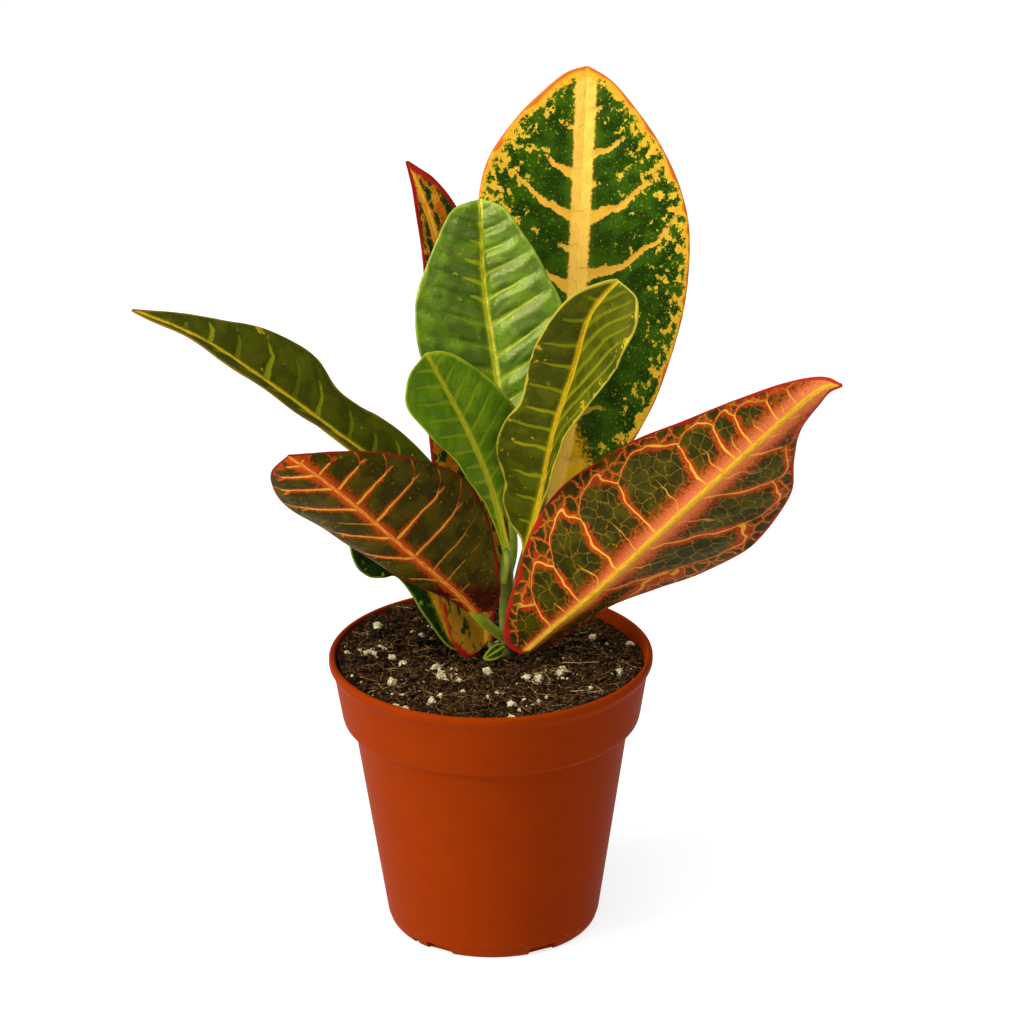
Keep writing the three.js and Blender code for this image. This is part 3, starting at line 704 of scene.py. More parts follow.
def leaf_material(name, look):
    """The waxy skin of a leaf over coloured tissue. Cells are bounded by side veins with
    halos, outer arches and a fine net, and flecked with blotches."""
    material, shader, add = new_material(name)
    plane = add("UVMap", (), "UV", uv_map="blade")
    number, gap, end, tone, reach, half_width, share = (
        add("Attribute", (), "Fac", attribute_name=key)
        for key in ("vein_count", "vein_gap", "vein_end", "vein_tone", "reach", "half_width", "share"))
    off = add("MULTIPLY", [add("ABSOLUTE", [add("SeparateXYZ", [plane], "Y")]), CM_IN_MM])
    # Slow bends of 8 mm and fine unevenness of 1 mm, each in three kinds round 0, and a grain
    uneven = []
    for scale, detail in ((1.3, 1), (8, 5)):
        vary = {"Vector": plane, "Scale": scale, "Detail": detail, "Roughness": 0.62}
        vary = add("TexNoise", vary, "Color", **FLAT)
        vary = add("VectorMath", [vary, (0.5, 0.5, 0.5)], operation="SUBTRACT")
        uneven.append([add("SeparateXYZ", [vary], axis) for axis in "XYZ"])
    slow, fine = uneven
    grain = add("TexNoise", {"Vector": plane, "Scale": 26, "Detail": 2}, **FLAT)
    number = add("MULTIPLY_ADD", [slow[0], 2 * look["wander"], number])
    reach = add("MULTIPLY_ADD", [slow[1], 0.12, reach])

    # Side veins: distance from the nearest one in mm, a width that tapers to its end
    near = add("MULTIPLY", [add("PINGPONG", [number, 0.5]), gap])
    gone = add("DIVIDE", [reach, end])
    taper = add("MapRange", [gone, 0, 1, 1, 0.02])
    thick, thin, power, soft = look["vein"]
    girth = add("MULTIPLY_ADD", [add("POWER", [taper, power]), thick - thin, thin])
    edge = add("MULTIPLY_ADD", [fine[0], 2 * look["ragged"], near])
    line = add("MapRange", [edge, girth, add("MULTIPLY", [girth, soft]), 1, 0], **SMOOTH)
    frayed = add("MULTIPLY_ADD", [fine[1], look["ragged"], gone])
    for fade in (add("MapRange", [frayed, 0.95, 1.06, 1, 0]), tone):
        line = add("MULTIPLY", [line, fade])
    if look["between"]:
        width, finish = look["between"]
        weak = add("MULTIPLY", [add("SUBTRACT", [add("FRACT", [number]), 0.5]), gap])
        weak = add("ABSOLUTE", [add("MULTIPLY_ADD", [slow[2], 5, weak])])
        weak = add("MapRange", [weak, width, width * 2, 1, 0])
        for fade in (add("MapRange", [reach, finish * 0.6, finish, 0.75, 0]), tone):
            weak = add("MULTIPLY", [weak, fade])
        line = add("MAXIMUM", [line, weak])

    # Arches join the ends of neighbouring side veins. They rise steeply on the base side
    bow, rise, strength, fork = look["arch"]
    cell = add("MULTIPLY", [add("POWER", [add("FRACT", [number]), 0.6]), math.pi])
    beyond = add("SUBTRACT", [reach, add("MULTIPLY_ADD", [add("SINE", [cell]), rise, bow])])
    apart = add("MULTIPLY", [add("ABSOLUTE", [beyond]), half_width])
    if strength:
        arched = add("MapRange", [apart, thin, thin * soft, strength, 0], **SMOOTH)
        close = add("MapRange", [near, fork * 0.6, fork, 1, 0])
        for fade in (close, tone, add("MapRange", [half_width, 10, 18])):
            arched = add("MULTIPLY", [arched, fade])
        line = add("MAXIMUM", [line, arched])

    # A fine net with wavy threads, strong outside the arches and faint inside them
    cells, thread_width, outer, inner = look["net"]
    sway = add("TexNoise", {"Vector": plane, "Scale": 4, "Detail": 2}, "Color", **FLAT)
    bent = add("VectorMath", [sway, (0.22, 0.22, 0), plane], operation="MULTIPLY_ADD")
    web = add("TexVoronoi", {"Vector": bent, "Scale": cells}, feature="DISTANCE_TO_EDGE",
              voronoi_dimensions="2D")
    thread = add("MapRange", [web, thread_width * 0.4, thread_width, 0.9, 0], **SMOOTH)
    thread = add("MULTIPLY", [thread, add("MapRange", [beyond, -0.02, 0.02, inner, outer])])

    # Tissue in two tones, then its base tint, blotches and specks
    patchy = add("MULTIPLY_ADD", [fine[2], 1.6, add("MapRange", [slow[2], -0.1, 0.12])])
    layers = [(patchy, "tissue")]
    if look["base"]:
        finish, pull = look["base"]
        low = add("MULTIPLY_ADD", [fine[0], 0.12, add("MULTIPLY_ADD", [reach, pull, share])])
        layers.append((add("MapRange", [low, finish * 0.88, finish, 1, 0]), "base_tint"))
    if look["blotch"]:
        scale, level, outward, beside, forward, stretch = look["blotch"]
        spread = add("VectorMath", [plane, (stretch, 1, 1)], operation="MULTIPLY")
        patch = {"Vector": spread, "Scale": scale, "Detail": 7, "Roughness": 0.62}
        patch = add("TexNoise", patch, **FLAT)
        close = add("MapRange", [near, 0, 4, beside, 0])
        for more, gain in ((add("POWER", [reach, 2.5]), outward), (close, tone), (share, forward)):
            patch = add("MULTIPLY_ADD", [more, gain, patch])
        layers.append((add("MapRange", [patch, level - 0.025, level]), "spot_rim"))
        layers.append((add("MapRange", [patch, level, level + 0.02]), "spot"))
    if look["speck"]:
        scale, level = look["speck"]
        speck = add("TexNoise", {"Vector": plane, "Scale": scale, "Detail": 3}, **FLAT)
        speck = add("MULTIPLY_ADD", [reach, 0.06, speck])
        layers.append((add("MapRange", [speck, level, level + 0.03, 0, 0.9]), "spot_rim"))

    # A halo follows the midrib, the side veins, their arches and the outer net. Its edge is
    # grainy, it is paler close to the midrib, and it is stippled all over
    if look["halo"]:
        at_vein, (early, mid, late), at_net, falls, strength = look["halo"]
        breadth = add("MapRange", [taper, 0, 1, at_vein * (1 - falls), at_vein])
        glow = add("ADD", [add("DIVIDE", [near, breadth]), add("MapRange", [gone, 0.9, 1.1, 0, 4])])
        if look["arch"][2]:
            around = add("DIVIDE", [apart, at_vein * 0.8])
            around = add("ADD", [around, add("MapRange", [near, fork * 0.6, fork, 0, 3])])
            glow = add("MINIMUM", [glow, around])
        glow = add("ADD", [glow, add("MapRange", [tone, 0.2, 0.7, 1.5, 0])])
        bank = add("MapRange", [share, 0.05, 0.4, early, mid])
        bank = add("ADD", [bank, add("MapRange", [share, 0.5, 0.9, 0, late - mid])])
        bank = add("DIVIDE", [off, bank])
        glow = add("MINIMUM", [glow, bank])
        if at_net:
            around = add("MULTIPLY", [web, CM_IN_MM / cells / at_net])
            around = add("ADD", [around, add("MapRange", [beyond, -0.06, 0.04, 1.1, 0])])
            glow = add("MINIMUM", [glow, around])
        glow = add("MULTIPLY_ADD", [grain, 1.1, add("MULTIPLY_ADD", [fine[0], 2.2, glow])])
        glow = add("MapRange", [glow, 1.2, 1.75, strength, 0])
        inner = add("MULTIPLY", [glow, add("MapRange", [bank, 0.3, 0.9, 1, 0])])
        dots = add("MULTIPLY", [glow, add("MapRange", [grain, 0.52, 0.66, 0, 0.55])])
        layers += [(glow, "glow"), (inner, "glow_pale"), (dots, "stipple")]
    layers.append((thread, "thread"))
    if look["tip"]:
        high = add("MULTIPLY_ADD", [fine[1], 0.1, share])
        layers.append((add("MapRange", [high, look["tip"], look["tip"] + 0.06]), "tip_tint"))

    # Veins, midrib and margin lie over the tissue
    low = add("MapRange", [share, 0.18, 0.34, 1, 0])
    layers += [(line, "line"), (add("MULTIPLY", [line, low]), "line_base")]
    base_width, tip_width, wobble = look["midrib"]
    rib = add("MULTIPLY_ADD", [fine[1], 2 * wobble, off])
    rib = add("DIVIDE", [rib, add("MapRange", [share, 0, 1, base_width, tip_width])])
    flank = add("MapRange", [rib, 1, 1.9, look["flanks"], 0], **SMOOTH)
    cord = add("MapRange", [rib, 0.85, 1.15, 1, 0], **SMOOTH)
    streaks = add("VectorMath", [plane, (3, 28, 1)], operation="MULTIPLY")
    streaks = add("TexNoise", {"Vector": streaks, "Scale": 1, "Detail": 3}, **FLAT)
    streaks = add("MULTIPLY", [add("MapRange", [streaks, 0.35, 0.65]), cord])
    layers += [(flank, "flank"), (cord, "rib_low"), (streaks, "rib")]
    width, strength, wobble = look["hem"]
    inset = add("MULTIPLY", [add("SUBTRACT", [1, reach]), half_width])
    hem = add("MULTIPLY_ADD", [fine[2], 2 * wobble, inset])
    layers.append((add("MapRange", [hem, width * 0.75, width * 1.1, strength, 0]), "margin"))
    layers.append((add("MapRange", [inset, 0.3, 0.75, strength, 0]), "edge"))
    colour = linear(look["dark"])
    for factor, part in layers:
        colour = {"Factor": factor, "A": colour, "B": linear(look[part])}
        colour = add("Mix", colour, "Result", data_type="RGBA")

    # Veins are slightly sunk, and the waxy skin between them is pebbled at about 1 mm
    relief = add("MULTIPLY_ADD", [fine[2], 0.9, add("MAXIMUM", [line, thread])])
    relief = add("MULTIPLY_ADD", [grain, 0.3, relief])
    bump = add("Bump", {"Height": relief, "Strength": 0.45, "Distance": 0.0005}, invert=True)
    gloss = add("MapRange", [fine[1], -0.2, 0.2, *look["gloss"]])
    feed(shader, {"Base Color": colour, "Normal": bump, "Roughness": gloss})
    feed(shader, {"Specular IOR Level": look["shine"], "Specular Tint": linear(WAX_TINT)})
    return material


def leaf_materials(name, look):
    """The four finishes of a leaf. The underside has the same pattern, dulled towards its
    own colour, and the stalk is smooth and fleshy."""
    under = look["under"]
    dull = dict(look, gloss=(0.5, 0.65), shine=0.08)
    for part, colour in look.items():
        if isinstance(colour, str):
            pairs = [(int(colour[i:i + 2], 16), int(under[i:i + 2], 16)) for i in (1, 3, 5)]
            dull[part] = "#%02x%02x%02x" % tuple((a * 9 + b * 11) // 20 for a, b in pairs)
    made = [leaf_material(name + "_skin", look), leaf_material(name + "_underside", dull)]
    shaded, lit = look["stalk"]
    for part, dark, light in (("stalk", shaded, lit), ("midrib_underside", lit, look["rib_low"])):
        material, shader, add = new_material(name + "_" + part)
        place = add("TexCoord", out="Object")
        vary = add("TexNoise", {"Vector": place, "Scale": 240, "Detail": 5})
        vary = add("MapRange", [vary, 0.35, 0.65])
        tone = {"Factor": vary, "A": linear(dark), "B": linear(light)}
        tone = add("Mix", tone, "Result", data_type="RGBA")
        relief = add("Bump", {"Height": vary, "Strength": 0.15, "Distance": 0.0003})
        feed(shader, {"Base Color": tone, "Normal": relief})
        feed(shader, {"Roughness": 0.42, "Specular IOR Level": 0.12})
        made.append(material)
    return made


# A leaf's data. petiole is the bare stalk's length and stalk its radius. fold and curl are
# each half's rise in degrees at the midrib and from there to the margin. relief is the
# height of swells, wrinkles and crinkles, wave the margin's height and length, and grid the
# rows and columns. spine runs from the stalk's foot to the tip, and face is where the upper
# side looks. left and right are the margins as distance along and half width. A vein is its
# start, the reach where it ends, and its strength. course is how far tipwards it has run,
# in half widths, by its reach.
back_gold = dict(
    petiole=23, stalk=1.7, fold=(4, 6), curl=(0, -2), relief=(0.5, 0.12, 0.1), wave=(0.5, 46),
    grid=(200, 92), face=[(0, -0.95, 0.3)],
    spine=[(8, 10, 112), (13, 15.5, 129), (22, 26, 146.5), (28, 40, 174.2), (30, 54, 205.3),
           (32, 66, 240), (34, 76, 276.5)],
    left=[(0, 1.6), (15, 12), (35, 23), (60, 32), (88, 35.5), (112, 34.5), (127, 31.5), (141, 22.5),
          (150, 14), (156, 7)],
    right=[(0, 1.6), (15, 12), (35, 22), (55, 30), (78, 36), (102, 37), (118, 33.5), (133, 26),
           (145, 17), (154, 8.5)],
    veins_left=[(12, 0.5, 1), (28, 0.55, 1), (45, 0.6, 1), (65, 0.6, 1), (84, 0.55, 1), (96, 0.2, 1),
                (107, 0.75, 1), (121, 0.55, 1), (136, 0.42, 1), (147, 0.3, 0.8)],
    veins_right=[(10, 0.4, 1), (25, 0.4, 0.8), (42, 0.4, 0.4), (58, 0.4, 0.2), (73, 0.3, 0.3),
                 (87, 0.85, 1), (108, 0.8, 1), (118, 0.2, 1), (128, 0.65, 1), (143, 0.5, 1),
                 (151, 0.25, 0.7)],
    course_left=[(0, 0), (0.4, 0.17), (0.7, 0.42), (1, 0.75)],
    course_right=[(0, 0), (0.4, 0.13), (0.75, 0.42), (1, 0.75)],
)
gold_look = dict(
    PLAIN_SKIN, dark="#1a3404", tissue="#2f4f06", line="#e2a936", line_base="#e2a936", thread="#48660f",
    rib_low="#eab342", rib="#f2c255", flank="#a3a01c", flanks=0.1, margin="#e0a428", edge="#c8641c",
    spot="#e0aa2e", spot_rim="#7f9410", vein=(2.6, 0.6, 2.6, 1.35), ragged=0.9,
    net=(2.6, 0.05, 0.15, 0.05), midrib=(2.7, 3.6, 0.8), blotch=(3.6, 0.715, 0.22, 0.1, -0.02, 0.8),
    speck=(12, 0.71), hem=(1.6, 1, 2.4), base=(0.26, 0.16), base_tint="#dca010", under="#55662c",
    stalk=("#8f9428", "#c2a632"),
)
leaf_piece("leaf_back_gold", back_gold, leaf_materials("gold_leaf", gold_look))

# The narrow leaf behind on the left: orange and yellow with dark green islands and a red
# margin. Its broad base shows low in front, between the two left leaves.
back_orange = dict(
    petiole=5, stalk=1.3, fold=(20, -10), curl=(0, 0), relief=(0.3, 0.08, 0.08), wave=(0.3, 30),
    grid=(180, 44), face=[(0, -1, 0.1)],
    spine=[(2.5, 4.6, 97.2), (-0.6, 3.2, 98.4), (-2, 8, 112), (-3.3, 17, 138), (-6.5, 26, 166.2),
           (-12.3, 34, 200), (-17.5, 38, 232), (-26, 40, 256)],
    left=[(-3, 3.5), (-4.5, 8), (3, 13), (25, 15.5), (45, 15), (73, 14), (100, 11), (124, 6.5),
          (144, 4.5), (157, 1.6)],
    right=[(0, 2), (8, 3), (16, 4.5), (32, 9.5), (60, 13), (95, 14.5), (125, 12.5), (143, 10),
           (155, 6.5), (161, 3)],
    veins=[(4 + 12 * i, 0.6, 0.35) for i in range(13)], course=[(0, 0), (1, 0.7)],
)
orange_look = dict(
    PLAIN_SKIN, dark="#a3520c", tissue="#bd7a16", line="#cf8f26", line_base="#b98a20", thread="#a05a10",
    rib_low="#c27c1c", rib="#d49a2c", flank="#b8701a", flanks=0.3, margin="#9c1d12", edge="#8a1410",
    spot="#152c05", spot_rim="#4a5a0c", vein=(0.5, 0.2, 1, 1.6), net=(3, 0.06, 0.15, 0.1),
    midrib=(1.0, 1.0, 0.5), blotch=(3.4, 0.58, 0.02, 0, 0.1, 0.45), speck=(9, 0.7),
    hem=(0.7, 0.95, 0.4), base=(0.3, 0), base_tint="#9a6a14", under="#7c4a24",
    stalk=("#6f7a20", "#8c8a30"),
)
leaf_piece("leaf_back_orange", back_orange, leaf_materials("orange_leaf", orange_look))

# The upper green leaf: bright, glossy and quilted, with a yellow green midrib and small
# yellow flecks along the veins of its left half.
upper_green = dict(
    petiole=20, stalk=1.4, fold=(30, 25), curl=(-10, -10), relief=(1.4, 0.14, 0.12), wave=(0.4, 24),
    grid=(150, 84), face=[(-0.05, -0.95, 0.3)],
    spine=[(6, 10.4, 119), (8, 14, 131), (5, 19, 155), (3, 26, 184), (-1, 32, 214), (-2, 36, 244)],
    left=[(0, 1.4), (15, 8), (35, 17), (60, 25.5), (76, 25), (88, 20), (100, 14), (106.5, 9)],
    right=[(0, 1.4), (15, 8), (35, 18), (55, 25), (72, 27), (88, 21), (98, 15), (106, 8.5)],
    veins_left=[*((5 + 9 * i, 0.5, 0.3) for i in range(6)), (58, 0.6, 0.3), (66, 0.7, 0.3),
                (74.5, 0.3, 0.9), (80, 0.45, 0.8), (86.5, 0.5, 0.9), (93.5, 0.4, 0.8), (100, 0.3, 0.4)],
    veins_right=[(5, 0.7, 0.4), (14, 0.7, 0.4), (23, 0.7, 0.4), (31, 0.7, 0.4), (39, 0.7, 0.4),
                 (47, 0.7, 0.5), (55, 0.8, 0.5), (65.5, 0.8, 0.6), (74.5, 0.7, 0.6), (83, 0.6, 0.4),
                 (90.5, 0.6, 0.5), (97.5, 0.5, 0.5)],
    course_left=[(0, 0), (1, 0.45)], course_right=[(0, 0), (0.5, 0.24), (1, 0.55)],
)
green_look = dict(
    PLAIN_SKIN, dark="#3a5a02", tissue="#587c02", line="#a3ae14", line_base="#86a010", thread="#5c8408",
    rib_low="#b4b01a", rib="#d2ca38", flank="#8ca00f", flanks=0.75, margin="#6a8f14", edge="#93a52a",
    spot="#c4aa20", spot_rim="#86981a", wander=0.06, vein=(0.7, 0.25, 1, 2.2), ragged=0.3,
    net=(3.4, 0.06, 0.1, 0.06), midrib=(1.6, 0.9, 0.2), blotch=(3.5, 0.76, -0.06, 0.12, 0.03, 0.7),
    hem=(0.3, 0.45, 0.2), gloss=(0.3, 0.44), shine=1, under="#4f7a2c", stalk=("#7d9428", "#a3ac38"),
)
leaf_piece("leaf_upper_green", upper_green, leaf_materials("green_leaf", green_look))

# The small green leaf in front of it: soft bright green with fine, evenly set side veins.
small_green = dict(
    petiole=12, stalk=1.3, fold=(40, 10), curl=(0, -10), relief=(0.6, 0.12, 0.1), wave=(0.4, 22),
    grid=(110, 60), face=[(0.1, -0.9, 0.4)],
    spine=[(4.5, 2.4, 121), (5.4, 3.1, 132), (0, 3.2, 155.6), (-8, -4.5, 180.4), (-20, -11, 207.7)],
    left=[(0, 1.4), (14, 3.5), (25, 6.5), (37, 9.5), (48, 12), (59, 16.5), (69, 19), (75, 19.2),
          (79, 16.5), (82, 10.5)],
    right=[(0, 1.4), (14, 2), (30, 8.5), (44, 17), (56, 16), (66, 12.5), (74, 9), (79, 5)],
    veins=[(4 + 7 * i, 0.8, 0.5) for i in range(11)], course_left=[(0, 0), (1, 0.8)],
    course_right=[(0, 0), (1, 0.9)],
)
small_look = dict(
    green_look, dark="#4a6c03", tissue="#5f8004", line="#95a012", line_base="#95a012",
    rib_low="#a3a616", rib="#bcb628", flank="#86960c", flanks=0.6, margin="#7d9614", edge="#a3a62c",
    vein=(0.45, 0.2, 1, 2.6), blotch=None, gloss=(0.38, 0.5), shine=0.15, midrib=(1.5, 0.8, 0.2),
    under="#5c8434",
)
leaf_piece("leaf_small_green", small_green, leaf_materials("small_green_leaf", small_look))

# The middle leaf: olive, folded along its midrib, with a wavy yellow margin, cross veins
# on its left half and long slanting veins on its right.
middle_olive = dict(
    petiole=14, stalk=1.4, fold=(20, 50), curl=(0, 0), relief=(0.4, 0.06, 0.06), wave=(0.2, 20),
    grid=(170, 64), face=[(-0.5, -0.8, 0.3), (-0.3, -0.85, 0.4), (0.1, -0.9, 0.3)],
    spine=[(9, 4.2, 116), (13, 3.2, 133), (18, -3.6, 156.3), (22, -13, 181.3), (28, -22, 205.6),
           (33, -29, 227), (42, -34, 241)],
    left=[(0, 1.4), (6, 3.5), (11, 8.5), (19, 12.5), (26, 13), (33, 15.7), (43, 18.2), (53, 17),
          (63, 13.7), (74, 14.2), (85, 14.8), (96, 13.6), (108, 9.4), (119, 3.7)],
    right=[(0, 1.4), (12, 1.4), (25, 2.6), (40, 7), (55, 9.5), (68, 12.5), (82, 16), (96, 20),
           (109, 23.8), (118, 21.5), (123, 16.5), (126, 10.5)],
    veins_left=[(5, 0.6, 0.3), (14, 0.6, 0.4), (24, 0.7, 0.4), (34.5, 0.75, 0.7), (47.5, 0.7, 1),
                (55.5, 0.9, 0.6), (62.5, 0.8, 0.8), (72.5, 0.9, 0.6), (84, 0.7, 0.7), (93, 0.85, 0.6),
                (103, 0.75, 0.5), (112, 0.6, 0.5)],
    veins_right=[(20, 0.8, 0.3), (33, 0.8, 0.3), (45, 0.85, 0.4), (56, 0.9, 0.5), (66, 0.9, 0.55),
                 (77, 0.9, 0.4), (88, 0.9, 0.4), (99, 0.85, 0.3), (110, 0.8, 0.25)],
    course_left=[(0, 0), (0.5, -0.05), (1, -0.05)],
    course_right=[(0, 0), (0.4, 0.9), (0.8, 1.9), (1, 2.5)],
)
olive_look = dict(
    PLAIN_SKIN, dark="#3a3f03", tissue="#4d5004", line="#8c8a0c", line_base="#94900e", thread="#66680a",
    rib_low="#b4900c", rib="#c8a81a", flank="#8f850a", flanks=0.7, margin="#98900f", edge="#b5a62c",
    spot="#c08a12", spot_rim="#8f8c12", wander=0.08, vein=(0.42, 0.2, 1, 3.2), ragged=0.35,
    net=(3, 0.06, 0.12, 0.06), midrib=(1.6, 0.9, 0.25), blotch=(2.6, 0.76, 0.12, 0.02, 0.02, 0.8),
    hem=(0.5, 0.75, 0.3), gloss=(0.4, 0.55), under="#5f6424", stalk=("#6f7a1c", "#8f8c24"),
)
leaf_piece("leaf_middle_olive", middle_olive, leaf_materials("olive_leaf", olive_look))

# The large leaf on the right: olive black cells in a net of yellow veins with pinkish red
# halos. Its side veins run out, fork and meet in arches, with small cells outside them.
right_red = dict(
    petiole=10, stalk=1.6, fold=(5, -55), curl=(0, 0), relief=(0.55, 0.08, 0.12), wave=(0.4, 34),
    grid=(210, 100), face=[(0.1, -0.9, 0.4), (-0.2, -0.85, 0.5), (-0.2, -0.85, 0.5)],
    spine=[(7.5, 3.7, 99.8), (11, -2.8, 98.6), (14.4, -5.2, 101.4), (21.5, -7.6, 109),
           (36, -12.5, 124.5), (62, -21, 154.4), (88, -29.5, 184), (105, -36, 202.8), (113, -40, 206.8)],
    left=[(-3, 1), (-4, 7), (2, 13), (11, 18.5), (24, 26), (38, 31.5), (52, 33.2), (66, 31.2), (81, 28),
          (98, 22), (115, 16.2), (131, 10.4), (142, 5.5)],
    right=[(0, 2.5), (8, 6.5), (20, 9), (32, 11.5), (44, 18.5), (56, 27), (71, 30.6), (88, 30.3),
           (103, 25.5), (115, 15.5), (126, 8.4), (140, 4.6)],
    veins_left=[(1, 0.6, 0.3), (12.5, 0.68, 0.8), (27, 0.66, 1), (45.6, 0.66, 1), (64.2, 0.66, 1),
                (90.4, 0.66, 1), (104.2, 0.68, 1), (112.4, 0.7, 0.9), (125.5, 0.7, 0.9),
                (134, 0.7, 0.6)],
    veins_right=[(10, 0.6, 0.2), (34, 0.7, 0.7), (58, 0.7, 0.8), (84, 0.7, 0.8), (108, 0.6, 0.8),
                 (128, 0.5, 0.6)],
    course_left=[(0, 0), (0.45, 0), (0.65, 0.06), (0.8, 0.19), (0.9, 0.35), (1, 0.5)],
    course_right=[(0, 0), (0.3, 0.3), (0.6, 0.68), (0.8, 1.0), (1, 1.4)],
)
red_look = dict(
    PLAIN_SKIN, dark="#262303", tissue="#3f3a04", line="#dc9c34", line_base="#d09230", thread="#a4841a",
    rib_low="#bd8a18", rib="#d6a22c", flank="#c8702c", flanks=0.8, margin="#8a120c", edge="#a0180f",
    glow="#9e320c", glow_pale="#cc6c3c", stipple="#8c240c", wander=0.08, vein=(0.32, 0.2, 1, 1.6),
    ragged=0.12, arch=(0.66, 0.2, 0.95, 99), between=(0.16, 0.45), net=(2.2, 0.05, 0.8, 0.3),
    midrib=(1.3, 0.7, 0.2), halo=(1.7, (2.5, 6, 6), 0.6, 0, 1), hem=(0.9, 0.95, 0.5), tip=0.95,
    tip_tint="#a04020", gloss=(0.4, 0.55), under="#6b2c20", stalk=("#7c7424", "#a3842c"),
)
leaf_piece("leaf_right_red", right_red, leaf_materials("red_leaf", red_look))

# The bronze leaf in front on the left: brown green with straight orange side veins, a red
# band at its midrib and a dark red base lobe.
left_bronze = dict(
    petiole=15, stalk=1.7, fold=(-35, 0), curl=(-35, 10), relief=(0.45, 0.08, 0.1), wave=(0.3, 26),
    grid=(150, 90), face=[(0.1, -0.85, 0.5)],
    spine=[(4.2, 2.1, 101.2), (-4, -3, 111), (-10, -6, 120), (-25, -12, 137), (-43, -18, 157),
           (-55, -21, 169), (-65, -22, 177)],
    left=[(0, 1.4), (9, 4.5), (19, 7.8), (33, 12.5), (45, 14.3), (57, 16.5), (70, 18.9), (82, 18),
          (88, 14.5), (91, 9)],
    right=[(0, 1.5), (-3, 4.5), (-1, 10), (7, 15.8), (17, 24), (29, 29.3), (39, 30.3), (52, 26.1),
           (64, 20.4), (75, 12.8), (85, 5)],
    veins_left=[(8, 0.6, 0.4), (20, 0.7, 0.5), (32.5, 0.9, 0.8), (44.5, 0.8, 0.9), (52, 0.5, 0.4),
                (60, 0.9, 0.9), (72, 0.85, 0.9), (80, 0.8, 0.9), (85.5, 0.6, 0.8)],
    veins_right=[(4, 0.4, 0.2), (11, 0.45, 0.25), (18, 0.55, 0.4), (24.5, 0.7, 0.45), (33, 0.74, 0.95),
                 (42.5, 0.72, 1), (52.5, 0.7, 1), (62, 0.7, 1), (70.5, 0.62, 1), (79, 0.6, 0.9),
                 (86, 0.5, 0.7)],
    course_left=[(0, 0), (1, 0.9)], course_right=[(0, 0), (0.65, -0.07), (0.85, 0.02), (1, 0.12)],
)
bronze_look = dict(
    PLAIN_SKIN, dark="#2e2603", tissue="#443804", line="#d6942c", line_base="#938a10", thread="#62600a",
    rib_low="#b85a1a", rib="#dc9030", flank="#a8360c", flanks=1, margin="#64120a", edge="#7c180c",
    glow="#9c320a", glow_pale="#ae4410", stipple="#7a2008", wander=0.06, vein=(0.38, 0.22, 1, 1.6),
    arch=(0.68, 0.3, 0.5, 2), net=(2.2, 0.05, 0.14, 0.05), midrib=(0.6, 0.4, 0.2),
    halo=(1.3, (1.8, 2.2, 2.6), 0, 0.45, 1), hem=(0.5, 0.9, 0.3), base=(0.2, -0.03),
    base_tint="#3c0c05", speck=(7, 0.74), spot_rim="#6f6a10", gloss=(0.4, 0.52), under="#58281c",
    stalk=("#6f8a14", "#93982c"),
)
leaf_piece("leaf_left_bronze", left_bronze, leaf_materials("bronze_leaf", bronze_look))

# The long leaf that reaches out to the left: olive above, with a yellow midrib and soft
# pale side veins, folded into a shallow trough.
far_left = dict(
    petiole=22, stalk=1.4, fold=(34, 15), curl=(0, 0), relief=(0.5, 0.05, 0.06), wave=(0.4, 30),
    grid=(180, 60), face=[(0.45, -0.35, 0.75)],
    spine=[(1.5, 6.6, 121), (-6, 6, 138), (-21, 4, 151), (-45, 1, 171), (-67, -1, 190), (-92, -2, 209),
           (-115, -4, 221)],
    left=[(0, 1.4), (15, 6), (32, 9), (52, 10), (64, 12), (80, 18), (95, 18.5), (106, 14), (118, 8),
          (128, 3.5)],
    right=[(0, 1.4), (12, 10), (26, 15), (42, 16), (52, 15), (62, 15), (72, 19.5), (81, 20), (93, 17),
           (106, 11), (122, 5)],
    veins_left=[(6 + 12 * i, 0.6, 0.5) for i in range(10)],
    veins_right=[(9, 0.6, 0.4), (20, 0.6, 0.4), (30, 0.7, 0.5), (40, 0.6, 0.3), (50, 0.7, 0.35),
                 (63.5, 0.7, 0.7), (73, 0.7, 0.2), (84.5, 0.7, 0.8), (97, 0.6, 0.3), (107, 0.7, 0.8),
                 (116, 0.5, 0.3)],
    course_left=[(0, 0), (1, 0.6)], course_right=[(0, 0), (0.5, 0.08), (0.75, 0.28), (1, 0.7)],
)
far_look = dict(
    olive_look, dark="#363c03", tissue="#464b04", line="#8a8c0c", line_base="#7c800c",
    rib_low="#b8940c", rib="#cfac1c", flank="#6f7008", margin="#6a4c0a", edge="#7c5c10",
    vein=(0.7, 0.3, 1, 2.2), blotch=(2.2, 0.76, 0, 0.1, 0.03, 0.8), midrib=(1.5, 0.8, 0.3),
    hem=(0.5, 0.7, 0.3),
)
leaf_piece("leaf_far_left", far_left, leaf_materials("far_leaf", far_look))

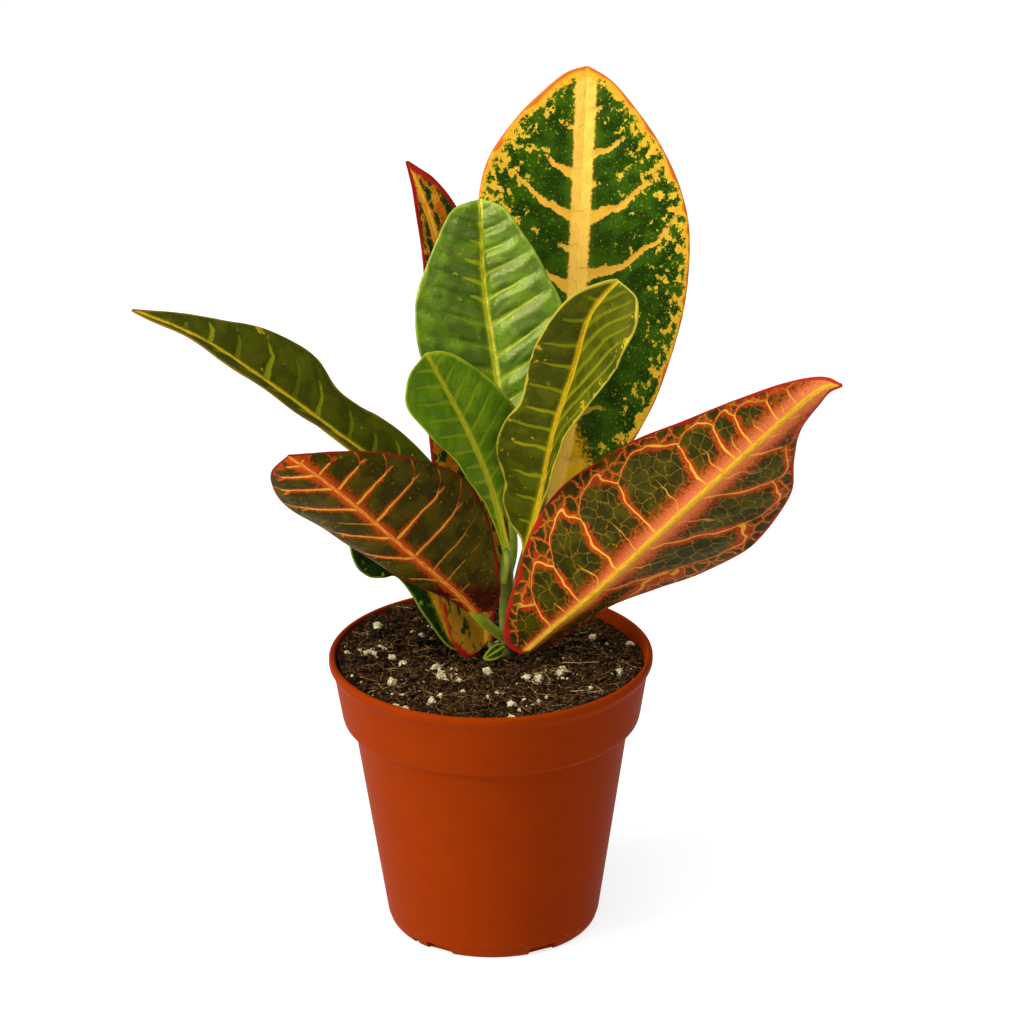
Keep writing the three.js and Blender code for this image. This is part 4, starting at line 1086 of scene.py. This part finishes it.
# The low leaf beside the rim: dark green with an orange gold midrib stripe.
low_left = dict(
    petiole=7, stalk=1.3, fold=(10, -15), curl=(0, 0), relief=(0.3, 0.05, 0.06), wave=(0.3, 18),
    grid=(110, 44), face=[(0.1, -0.9, 0.4)],
    spine=[(2.2, 8.8, 99), (-6, 6, 98.2), (-12, 4.5, 99.8), (-16.9, 8.5, 109.6), (-20.5, 12, 116.4),
           (-31, 15, 132), (-45, 14, 148)],
    left=[(0, 1.3), (6, 3), (13, 4.6), (22, 6.6), (33, 7.2), (38, 8.6), (40, 12.2), (44, 15.8),
          (52, 16.8), (60, 12.5)],
    right=[(0, 1.3), (10, 2.6), (25, 7), (40, 13), (52, 12), (62, 8)],
    veins=[(4 + 8 * i, 0.5, 0.3) for i in range(8)], course=[(0, 0), (1, 0.6)],
)
low_look = dict(
    PLAIN_SKIN, dark="#0a2003", tissue="#163405", line="#5c6f10", line_base="#5c6f10", thread="#2a4a08",
    rib_low="#a86a10", rib="#bd8418", flank="#6f6a0c", flanks=0.7, margin="#4a5c0c", edge="#6f8414",
    spot="#7c7c12", spot_rim="#4f620c", midrib=(1.6, 1.0, 0.9), vein=(0.6, 0.2, 1, 2), ragged=0.4,
    net=(3, 0.06, 0.12, 0.06), blotch=(3, 0.69, 0.02, 0.05, 0, 0.8), hem=(0.4, 0.8, 0.2),
    gloss=(0.38, 0.5), under="#3c4c20", stalk=("#5c6a18", "#7c7c24"),
)
leaf_piece("leaf_low_left", low_left, leaf_materials("low_leaf", low_look))

# The very small leaf by the mix, in front of the stem.
low_front = dict(
    petiole=2.5, stalk=0.8, fold=(-10, 20), curl=(0, 0), relief=(0.05, 0, 0.02), wave=(0.05, 5),
    grid=(24, 16), face=[(-0.2, -0.8, 0.5)],
    spine=[(5.4, 2.95, 98), (4, 0.4, 98.4), (1, -1.8, 97.4), (-2.4, -3, 95.8)],
    left=[(0, 1), (3, 2.4), (5.5, 2.2), (7.6, 1.2)], right=[(0, 1), (2, 2), (4.5, 2), (7, 1.2)],
    veins=[(1 + 2 * i, 0.6, 0.2) for i in range(4)], course=[(0, 0), (1, 0.6)],
)
sprout_look = dict(
    low_look, rib_low="#7c8a14", rib="#93982c", midrib=(0.35, 0.2, 0.1), flank="#4a5c0c",
    hem=(0.25, 0.6, 0.1), margin="#7c8c14", edge="#93a02c",
)
leaf_piece("leaf_low_front", low_front, leaf_materials("sprout_leaf", sprout_look))
